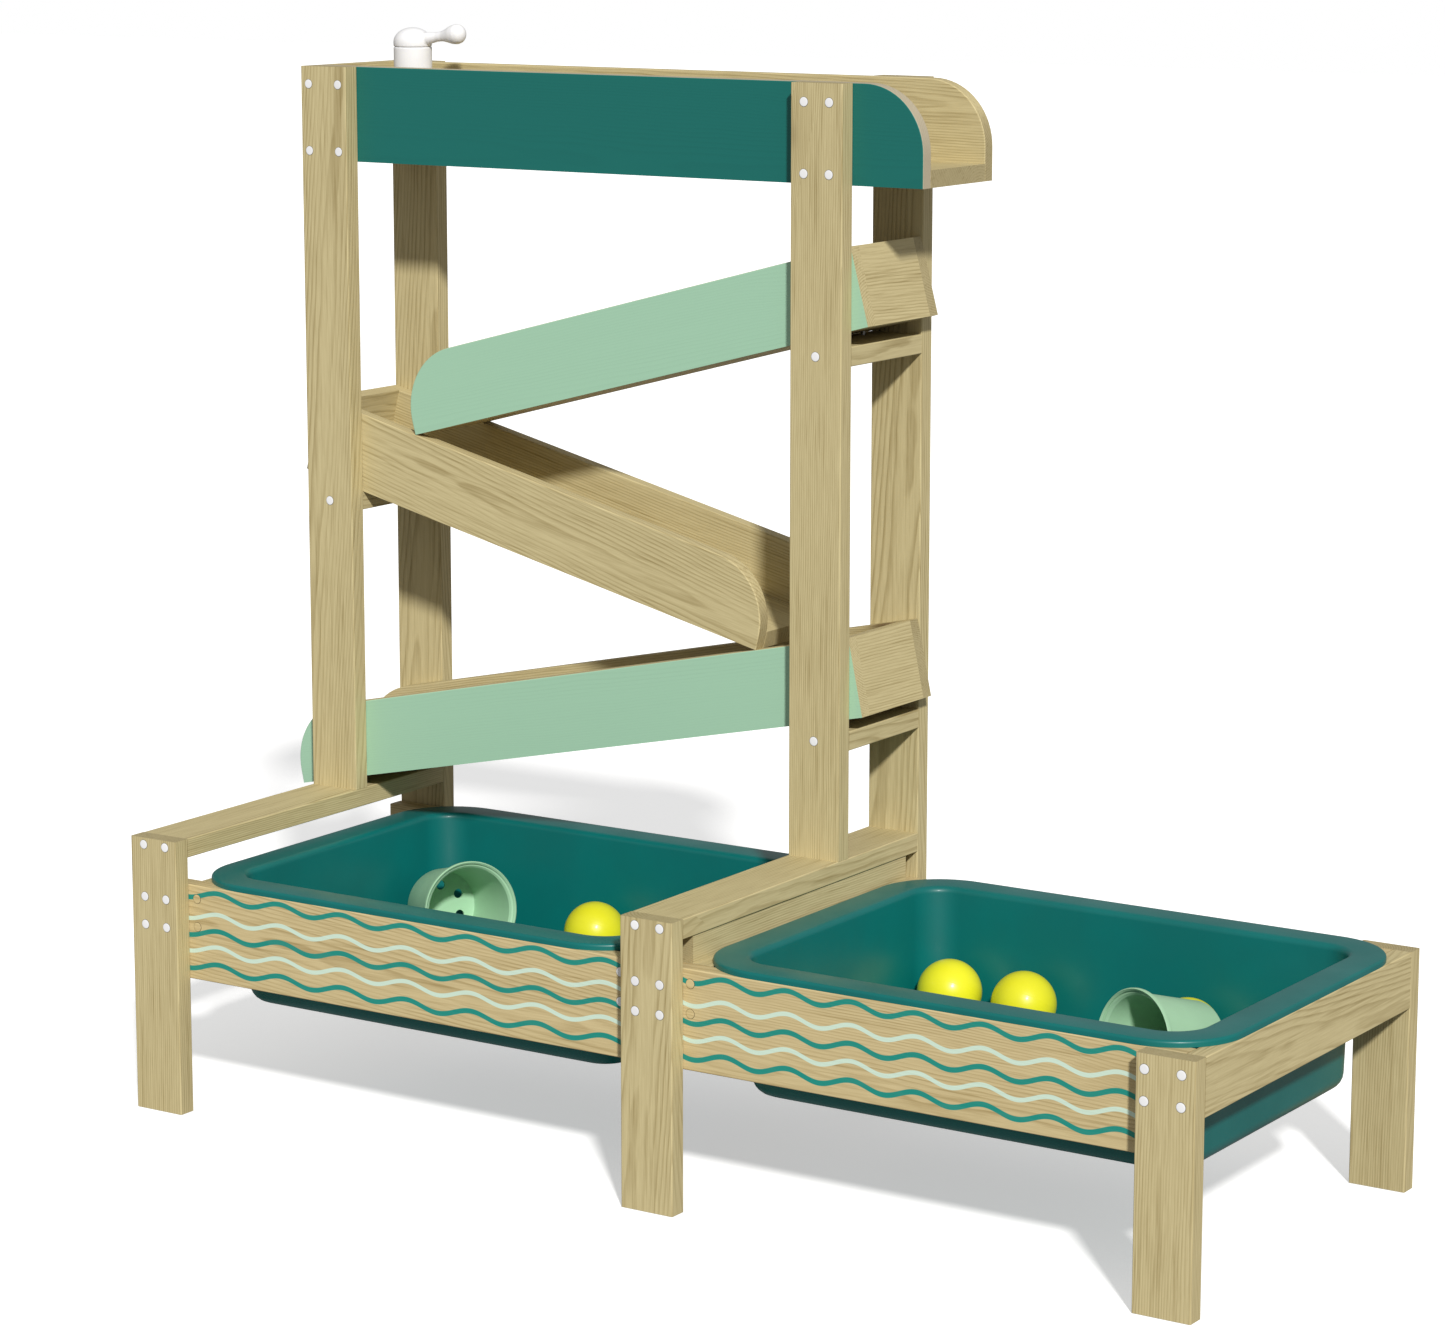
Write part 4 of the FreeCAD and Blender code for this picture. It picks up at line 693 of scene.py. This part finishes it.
def mould_cup(name, sieve, turn):
    """Cup modelled upright at the origin, then laid on its side where the node lies."""
    plastics = bpy.context.scene.wave_plastic
    base, mouth, tall = plastics.cup_base / 2, plastics.cup_mouth / 2, plastics.cup_length
    clear_selection()
    bpy.ops.mesh.primitive_circle_add(vertices=72, radius=base - CUP_CHAMFER, fill_type="NGON",
                                      location=(0, 0, 0))
    cup = begin(f"{name}_moulding")
    origin = (0.0, 0.0, 0.0)
    bpy.ops.mesh.select_all(action="SELECT")
    bpy.ops.mesh.inset(thickness=CUP_BOTTOM_RING)
    pick(cup, "EDGE", lambda edge: edge.is_boundary)

    def ring(rise, radius, previous):
        extrude(rise)
        scale(radius / previous, radius / previous, origin)

    neck = mouth - CUP_LIP
    ring(0.001, base - 0.001, base - CUP_CHAMFER)
    ring(0.003, base, base - 0.001)
    ring(tall * 0.5 - 0.004, base + (neck - base) * 0.5, base)
    ring(tall * 0.5 - 0.007, neck, base + (neck - base) * 0.5)
    ring(0.001, neck + 0.0008, neck)
    ring(0.0008, mouth - 0.0008, neck + 0.0008)
    ring(0.0012, mouth, mouth - 0.0008)
    ring(0.0030, mouth, mouth)
    ring(0.0010, mouth - 0.0010, mouth)
    bpy.ops.object.mode_set(mode="OBJECT")
    finish_mesh(cup)
    apply_modifier(cup, "SOLIDIFY", thickness=CUP_WALL, offset=-1.0, use_even_offset=True)
    if sieve:
        for number in range(SIEVE_HOLES):
            angle = math.radians(360 / SIEVE_HOLES * number)
            clear_selection()
            bpy.ops.mesh.primitive_cylinder_add(
                vertices=32, radius=SIEVE_HOLE, depth=0.02,
                location=(SIEVE_RING * math.cos(angle), SIEVE_RING * math.sin(angle), 0.0))
            drill = bpy.context.object
            apply_modifier(cup, "BOOLEAN", object=drill, operation="DIFFERENCE", solver="EXACT")
            bpy.data.objects.remove(drill)
    lean = math.atan2(mouth - base, tall - 0.003)
    lying = Matrix.Rotation(math.radians(turn), 4, "Z") @ Matrix.Rotation(math.pi / 2 - lean, 4, "Y")
    cup.data.transform(lying)
    low, high = box_of([vertex.co for vertex in cup.data.vertices])
    node_low, node_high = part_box(name)
    cup.data.transform(Matrix.Translation((node_low + node_high) / 2 - (low + high) / 2))
    finish_mesh(cup, 35.0)
    return cup


SEAM_RISE = 0.00015      # height of a ball's seam
SEAM_WIDTH = 0.0009
SEAM_TILT = 35           # lean of the seam, in degrees


def mould_ball(name):
    """Ball with the fine seam that its two-part mould leaves."""
    low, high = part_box(name)
    middle = (low + high) / 2
    radius = (high.z - low.z) / 2
    clear_selection()
    bpy.ops.mesh.primitive_uv_sphere_add(segments=64, ring_count=40, radius=radius - SEAM_RISE,
                                         location=middle)
    ball = begin(f"{name}_moulding")
    pick(ball, "EDGE", lambda edge: all(abs(vertex.co.z) < 1e-6 for vertex in edge.verts))
    bpy.ops.mesh.bevel(offset=SEAM_WIDTH, segments=4, affect="EDGES")
    pick(ball, "VERT", lambda vertex: abs(vertex.co.z) < 0.0004)
    swell = radius / (radius - SEAM_RISE)
    bpy.ops.transform.resize(value=(swell, swell, 1.0))
    bpy.ops.mesh.select_all(action="SELECT")
    bpy.ops.transform.rotate(value=math.radians(SEAM_TILT), orient_axis="X", center_override=middle)
    bpy.ops.object.mode_set(mode="OBJECT")
    finish_mesh(ball, 60.0)
    return ball


def join_pieces(pieces, name):
    clear_selection()
    for piece in pieces:
        piece.select_set(True)
    bpy.context.view_layer.objects.active = pieces[0]
    bpy.ops.object.join()
    joined = bpy.context.object
    joined.name = name
    return joined


def soft_union(piece, voxel, rounds):
    """Melts joined volumes into one skin with small fillets where they meet."""
    finish_mesh(piece)
    apply_modifier(piece, "REMESH", mode="VOXEL", voxel_size=voxel)
    apply_modifier(piece, "SMOOTH", factor=0.5, iterations=rounds)
    finish_mesh(piece, 60.0)


def rod(name, points, sides=40):
    """A round solid swept through (place, radius) stations."""
    clear_selection()
    first, radius = points[0]
    towards = (points[1][0] - first).normalized()
    facing_turn = towards.to_track_quat("Z", "Y").to_euler()
    bpy.ops.mesh.primitive_circle_add(vertices=sides, radius=radius, fill_type="NGON", location=first,
                                      rotation=facing_turn)
    piece = begin(name)
    bpy.ops.object.mode_set(mode="OBJECT")
    bpy.ops.object.transform_apply(location=True, rotation=True, scale=True)
    bpy.ops.object.mode_set(mode="EDIT")
    bpy.ops.mesh.select_all(action="SELECT")
    place, size = first, radius
    for target, wide in points[1:]:
        step = target - place
        bpy.ops.mesh.extrude_region_move(TRANSFORM_OT_translate={"value": tuple(step)})
        bpy.ops.transform.resize(value=(wide / size,) * 3, center_override=target)
        place, size = target, wide
    bpy.ops.object.mode_set(mode="OBJECT")
    return piece


TAP_SKIN = 0.0009        # voxel that melts the tap's volumes together
DOME_SHOULDER = 0.0045   # straight side of the handle's dome
DOME_TOP = 0.0197
LEVER_ROOT = (0.004, 0.0, 0.0066)   # where the lever leaves the dome, from the foot of its axis
KNOB_RISE = 0.0138       # middle of the lever's knob over the dome's foot
LEVER_NECK = ((0.0, 0.0072), (0.34, 0.0062), (0.52, 0.0050), (0.66, 0.0054), (0.78, 0.0074), (0.89, 0.0096))
KNOB_END = ((1.08, 0.0094), (1.13, 0.0072), (1.165, 0.0042), (1.18, 0.0014))


def turn_handle():
    """Tap handle: a domed cap that runs out into a lever with a round knob."""
    low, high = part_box("tap_handle")
    radius = (high.y - low.y) / 2
    axis = Vector((low.x + radius, (low.y + high.y) / 2, low.z))
    stations = [(axis, radius - 0.0002), (axis + Vector((0, 0, DOME_SHOULDER)), radius)]
    for step in range(1, 9):
        angle = math.radians(10 * step)
        rise = DOME_SHOULDER + (DOME_TOP - DOME_SHOULDER) * math.sin(angle)
        stations.append((axis + Vector((0, 0, rise)), radius * math.cos(angle)))
    dome = rod("handle_dome", stations, 64)
    knob_size = bpy.context.scene.wave_plastic.tap_knob / 2
    knob = Vector((high.x - knob_size, axis.y, low.z + KNOB_RISE))
    start = axis + Vector(LEVER_ROOT)
    aim = knob - start
    profile = (*LEVER_NECK, (1.0, knob_size), *KNOB_END)
    lever = rod("handle_lever", [(start + aim * share, wide) for share, wide in profile])
    handle = join_pieces([dome, lever], "tap_handle_moulding")
    soft_union(handle, TAP_SKIN, 8)
    return handle


TAP_FOOT = 0.025         # radius of the tap's flange
TAP_BARREL = 0.020       # radius of its barrel
SPOUT_REACH = 0.036
SPOUT_RISE = 0.040       # spout's root over the trough's floor
SPOUT_FALL = 0.014
SPOUT_WIDTH = 0.0092     # radius of the spout at its root
NOZZLE = (((0.0012, 0, 0.0030), 0.0060), ((0.0020, 0, 0.0010), 0.0090),
          ((0.0026, 0, -0.0050), 0.0094), ((0.0028, 0, -0.0085), 0.0088))
SHANK = 0.0100           # radius of the threaded shank
THREAD_CUTS = 28
THREAD_ROOT = 0.93       # thread's root against its crest


def turn_tap():
    """Tap body: flanged barrel, curved spout over the trough and a threaded shank."""
    low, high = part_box("tap_body")
    axis_x = low.x + TAP_FOOT
    axis_y = (low.y + high.y) / 2
    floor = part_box("trough_floor")[1].z
    centre = Vector((axis_x, axis_y, floor))

    def up(rise):
        return centre + Vector((0, 0, rise))

    barrel = rod("barrel", [
        (up(0.0001), TAP_FOOT - 0.0015), (up(0.0008), TAP_FOOT), (up(0.0030), TAP_FOOT),
        (up(0.0042), TAP_FOOT - 0.0014), (up(0.0060), TAP_BARREL + 0.0010), (up(0.0085), TAP_BARREL),
        (up(high.z - floor - 0.0002), TAP_BARREL), (up(high.z - floor), TAP_BARREL - 0.0002)], 64)
    spout_stations = []
    for share in range(0, 9):
        angle = math.radians(10 * share)
        out = 0.004 + SPOUT_REACH * math.sin(angle)
        drop = SPOUT_RISE - SPOUT_FALL * (1 - math.cos(angle))
        spout_stations.append((centre + Vector((out, 0, drop)), SPOUT_WIDTH - 0.0001 * share))
    spout = rod("spout", spout_stations)
    nozzle_top = spout_stations[-1][0]
    nozzle = rod("nozzle", [(nozzle_top + Vector(offset), wide) for offset, wide in NOZZLE])
    tap = join_pieces([barrel, spout, nozzle], "tap_moulding")
    soft_union(tap, TAP_SKIN, 3)
    clear_selection()
    bpy.ops.mesh.primitive_cylinder_add(vertices=40, radius=SHANK, depth=floor - low.z,
                                        location=(axis_x, axis_y, (floor + low.z) / 2))
    shank = begin("shank")
    bottom, top = low.z - (floor + low.z) / 2, (floor - low.z) / 2
    pick(shank, "EDGE", lambda edge: len({round(vertex.co.z, 4) for vertex in edge.verts}) == 2)
    bpy.ops.mesh.subdivide(number_cuts=THREAD_CUTS)
    grooves = sorted({round(vertex.co.z, 5) for vertex in bmesh.from_edit_mesh(shank.data).verts})
    roots = set(grooves[1:-1:2])
    pick(shank, "VERT", lambda vertex: round(vertex.co.z, 5) in roots and bottom < vertex.co.z < top)
    bpy.ops.transform.resize(value=(THREAD_ROOT, THREAD_ROOT, 1.0), center_override=(axis_x, axis_y, 0.0))
    bpy.ops.object.mode_set(mode="OBJECT")
    finish_mesh(shank, 20.0)
    return join_pieces([tap, shank], "tap_moulding")


def islands(name):
    """Middle and size of each separate solid in a carried-over node."""
    mesh = bmesh.new()
    mesh.from_mesh(NODES[name].data)
    bmesh.ops.remove_doubles(mesh, verts=mesh.verts, dist=1e-6)
    left = set(mesh.verts)
    found = []
    while left:
        heap = [left.pop()]
        members = []
        while heap:
            vertex = heap.pop()
            members.append(vertex.co.copy())
            for edge in vertex.link_edges:
                other = edge.other_vert(vertex)
                if other in left:
                    left.remove(other)
                    heap.append(other)
        low, high = box_of(members)
        found.append(((low + high) / 2, high - low))
    mesh.free()
    return found


CAP_CROWN = 0.0005       # rise of a cap's face
PLUG_CROWN = 0.0004
CROWN = ((0.45, 0.97), (0.35, 0.90), (0.15, 0.74), (0.05, 0.40))   # shares of a crown's height and width


def cover_discs(name, piece_name, crown):
    """Small round covers, one modelled and the rest copied, each facing out of its hole."""
    places = islands(name)
    radius = max(size.x for middle, size in places) / 2
    depth = max(size.y for middle, size in places)
    clear_selection()
    bpy.ops.mesh.primitive_circle_add(vertices=28, radius=radius, fill_type="NGON", location=(0, 0, 0))
    master = begin(piece_name)
    bpy.ops.mesh.select_all(action="SELECT")
    origin = (0.0, 0.0, 0.0)
    size = radius
    for rise, share in ((depth - crown, 1.0), *((crown * part, share) for part, share in CROWN)):
        extrude(rise)
        scale(radius * share / size, radius * share / size, origin)
        size = radius * share
    bpy.ops.object.mode_set(mode="OBJECT")
    finish_mesh(master, 40.0)
    copies = []
    for middle, extent in places:
        copy = master.copy()
        copy.data = master.data.copy()
        bpy.context.scene.collection.objects.link(copy)
        outward = 1.0 if middle.y > 0.0 and middle.y > trough_middle() else -1.0
        turn = Matrix.Rotation(math.radians(-90 * outward), 4, "X")
        start = Vector((middle.x, middle.y - outward * extent.y / 2, middle.z))
        copy.data.transform(Matrix.Translation(start) @ turn)
        copies.append(copy)
    bpy.data.objects.remove(master)
    group = join_pieces(copies, piece_name)
    finish_mesh(group, 40.0)
    return group


def trough_middle():
    low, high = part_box("trough_floor")
    return (low.y + high.y) / 2


# ------------------------------------------------------------------ operators

class WAVE_OT_finish_timber(bpy.types.Operator):
    """Give every bare board its own cut of planed softwood"""
    bl_idname = "wave.finish_timber"
    bl_label = "Finish timber"

    def execute(self, context):
        for name in UPRIGHTS:
            give_node_material(name, bare_timber(name, "Z"))
        for name in CROSS_BOARDS:
            give_node_material(name, bare_timber(name, "Y"))
        for group, slope in SLOPES.items():
            for part in ("front_board", "rear_board", "floor"):
                name = f"{group}_{part}"
                give_node_material(name, bare_timber(name, "X", slope))
            if group != "trough":
                give_node_material(f"{group}_end_board", bare_timber(f"{group}_end_board", "Y"))
        return {"FINISHED"}


class WAVE_OT_print_waves(bpy.types.Operator):
    """Print the wave lines on the long panels"""
    bl_idname = "wave.print_waves"
    bl_label = "Print wave lines"

    def execute(self, context):
        phases = {"left": 0.22, "right": 0.08}
        for name in PANELS:
            low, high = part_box(name)
            side = "left" if "left" in name else "right"
            give_node_material(name, printed_panel(name, low.x, high.x - low.x, phases[side]))
        return {"FINISHED"}


class WAVE_OT_paint_boards(bpy.types.Operator):
    """Paint the trough's and ramps' front boards"""
    bl_idname = "wave.paint_boards"
    bl_label = "Paint boards"

    def execute(self, context):
        paints = context.scene.wave_paint
        teal, mint = tuple(paints.teal), tuple(paints.mint)
        give_node_material("trough_front_board", painted_timber("trough_front_board", 0.0, teal, 0.10, 0.75))
        for group in ("upper_ramp", "lower_ramp"):
            name = f"{group}_front_board"
            give_node_material(name, painted_timber(name, SLOPES[group], mint, 0.08, 0.0))
        return {"FINISHED"}


class WAVE_OT_mould_tubs(bpy.types.Operator):
    """Mould both tubs"""
    bl_idname = "wave.mould_tubs"
    bl_label = "Mould tubs"

    def execute(self, context):
        material = moulded_plastic("tub_plastic", tuple(context.scene.wave_plastic.tub), 0.36, 0.06)
        for name in ("left_tub", "right_tub"):
            tub = mould_tub(name)
            give_material(tub, material)
            settle(tub, name, name)
        return {"FINISHED"}


class WAVE_OT_mould_toys(bpy.types.Operator):
    """Mould the cups and balls"""
    bl_idname = "wave.mould_toys"
    bl_label = "Mould cups and balls"

    def execute(self, context):
        plastics = context.scene.wave_plastic
        cup_plastic = moulded_plastic("cup_plastic", tuple(plastics.cup), 0.42, 0.0, 0.08)
        for name, sieve, turn in (("sieve_cup", True, -30.0), ("scoop_cup", False, -112.0)):
            cup = mould_cup(name, sieve, turn)
            give_material(cup, cup_plastic)
            settle(cup, name, name)
        ball_plastic = moulded_plastic("ball_plastic", tuple(plastics.ball), 0.32, 0.1, 0.10)
        for name in ("left_ball", "rear_ball", "middle_ball", "right_ball"):
            ball = mould_ball(name)
            give_material(ball, ball_plastic)
            settle(ball, name, name)
        return {"FINISHED"}


class WAVE_OT_fit_tap(bpy.types.Operator):
    """Shape the tap, its handle and the pieces that hold it"""
    bl_idname = "wave.fit_tap"
    bl_label = "Fit tap"

    def execute(self, context):
        white = moulded_plastic("white_plastic", tuple(context.scene.wave_plastic.white), 0.28, 0.2, 0.05)
        tap = turn_tap()
        give_material(tap, white)
        settle(tap, "tap_body", "frame")
        handle = turn_handle()
        give_material(handle, white)
        settle(handle, "tap_handle", "tap_lever")
        for name in ("tap_spindle", "tap_nut"):
            give_node_material(name, white)
        return {"FINISHED"}


class WAVE_OT_fit_fasteners(bpy.types.Operator):
    """Cover the screws with caps and plugs, and plate the metal"""
    bl_idname = "wave.fit_fasteners"
    bl_label = "Fit fasteners"

    def execute(self, context):
        caps = cover_discs("screw_caps", "cover_caps", CAP_CROWN)
        give_material(caps, gap_shaded_cap())
        settle(caps, "screw_caps", "frame")
        plugs = cover_discs("wood_plugs", "plugs", PLUG_CROWN)
        give_material(plugs, gap_shaded_plug())
        settle(plugs, "wood_plugs", "frame")
        zinc = zinc_plate()
        for name in ("leg_screws", "bearer_screws", "tower_screws", "ramp_screws", "post_foot_screws",
                     "tap_washer"):
            give_node_material(name, zinc)
        return {"FINISHED"}


SUN_AIM = (-0.905, 1.0, -0.905)
SUN_SPREAD = 4           # sharpness of the shadows, in degrees
CAMERA_PLACE = (2.1970, -3.3842, 1.2463)
CAMERA_AIM = (-0.5405, 0.8215, -0.1815)
CAMERA_SHIFT = (0.0046, -0.0182)


def studio_paper(colour, bounce, lift):
    """White paper that looks brighter than the light it throws back up at the piece."""
    material, weave, surface = blank_material("studio_floor")
    dress(weave, surface, colour, 0.9, 0.1)
    surface.inputs["Emission Color"].default_value = (1.0, 1.0, 1.0, 1.0)
    surface.inputs["Emission Strength"].default_value = lift
    dim = weave.add("ShaderNodeBsdfDiffuse")
    dim.inputs["Color"].default_value = (bounce, bounce, bounce, 1.0)
    swap = weave.add("ShaderNodeMixShader")
    weave.feed(swap.inputs[0], weave.add("ShaderNodeLightPath").outputs["Is Camera Ray"])
    weave.tree.links.new(dim.outputs[0], swap.inputs[1])
    weave.tree.links.new(surface.outputs[0], swap.inputs[2])
    output = next(node for node in weave.tree.nodes if node.type == "OUTPUT_MATERIAL")
    weave.tree.links.new(swap.outputs[0], output.inputs["Surface"])
    return material


def studio_sky(power):
    """White surroundings, with a gentler light on the piece than they show themselves."""
    world = bpy.data.worlds.new("studio_sky")
    world.use_nodes = True
    weave = Weave(world.node_tree)
    weave.tree.nodes.clear()
    shades = []
    for strength in (power, 1.0):
        shade = weave.add("ShaderNodeBackground")
        shade.inputs["Color"].default_value = (1.0, 1.0, 1.0, 1.0)
        shade.inputs["Strength"].default_value = strength
        shades.append(shade)
    swap = weave.add("ShaderNodeMixShader")
    weave.feed(swap.inputs[0], weave.add("ShaderNodeLightPath").outputs["Is Camera Ray"])
    for slot, shade in enumerate(shades, start=1):
        weave.tree.links.new(shade.outputs[0], swap.inputs[slot])
    output = weave.add("ShaderNodeOutputWorld")
    weave.tree.links.new(swap.outputs[0], output.inputs["Surface"])
    return world


class WAVE_OT_set_studio(bpy.types.Operator):
    """Lay the floor, hang the lights and stand the camera"""
    bl_idname = "wave.set_studio"
    bl_label = "Set studio"

    def execute(self, context):
        studio = context.scene.wave_studio
        clear_selection()
        bpy.ops.mesh.primitive_plane_add(size=40.0, location=(0, 0, -0.0005))
        floor = context.object
        floor.name = "studio_floor"
        give_material(floor, studio_paper(tuple(studio.floor), studio.floor_bounce, studio.floor_lift))
        context.scene.world = studio_sky(studio.sky_power)
        context.scene.view_settings.view_transform = "Standard"

        def lamp(name, kind, energy, toward, **settings):
            light = bpy.data.lights.new(name, kind)
            light.energy = energy
            for key, value in settings.items():
                setattr(light, key, value)
            stand = bpy.data.objects.new(name, light)
            context.scene.collection.objects.link(stand)
            stand.rotation_euler = Vector(toward).to_track_quat("-Z", "Y").to_euler()
            stand.location = Vector(toward) * -4.0
            return stand

        lamp("key_light", "SUN", studio.key_power, SUN_AIM, angle=math.radians(SUN_SPREAD),
             color=(1.0, 0.985, 0.96))

        camera = bpy.data.cameras.new("studio_camera")
        camera.sensor_width = 36.0
        camera.lens = studio.lens
        camera.shift_x, camera.shift_y = CAMERA_SHIFT
        camera.clip_end = 100.0
        stand = bpy.data.objects.new("studio_camera", camera)
        context.scene.collection.objects.link(stand)
        stand.location = CAMERA_PLACE
        stand.rotation_euler = Vector(CAMERA_AIM).to_track_quat("-Z", "Y").to_euler()
        context.scene.camera = stand
        return {"FINISHED"}


class WAVE_PT_sidebar(bpy.types.Panel):
    """Sizes, colours and steps of the wave slide"""
    bl_idname = "WAVE_PT_sidebar"
    bl_label = "Wave Slide"
    bl_space_type = "VIEW_3D"
    bl_region_type = "UI"
    bl_category = "Wave Slide"

    def draw(self, context):
        for name in SETTINGS:
            group = getattr(context.scene, name)
            box = self.layout.box()
            for key in group.__annotations__:
                box.prop(group, key)
        for operator in STEPS:
            self.layout.operator(operator.bl_idname)


SETTINGS = {"wave_timber": TimberSettings, "wave_paint": PaintSettings, "wave_print": WaveSettings,
            "wave_plastic": PlasticSettings, "wave_studio": StudioSettings}
STEPS = [WAVE_OT_finish_timber, WAVE_OT_print_waves, WAVE_OT_paint_boards, WAVE_OT_mould_tubs,
         WAVE_OT_mould_toys, WAVE_OT_fit_tap, WAVE_OT_fit_fasteners, WAVE_OT_set_studio]


def register():
    for kind in list(SETTINGS.values()) + STEPS + [WAVE_PT_sidebar]:
        bpy.utils.register_class(kind)
    for name, kind in SETTINGS.items():
        setattr(bpy.types.Scene, name, bpy.props.PointerProperty(type=kind))


def unregister():
    for name in SETTINGS:
        delattr(bpy.types.Scene, name)
    for kind in [WAVE_PT_sidebar] + STEPS + list(SETTINGS.values()):
        bpy.utils.unregister_class(kind)


def main():
    register()
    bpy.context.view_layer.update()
    bpy.ops.wave.finish_timber()
    bpy.ops.wave.print_waves()
    bpy.ops.wave.paint_boards()
    bpy.ops.wave.mould_tubs()
    bpy.ops.wave.mould_toys()
    bpy.ops.wave.fit_tap()
    bpy.ops.wave.fit_fasteners()
    bpy.ops.wave.set_studio()


if __name__ == "__main__":
    main()
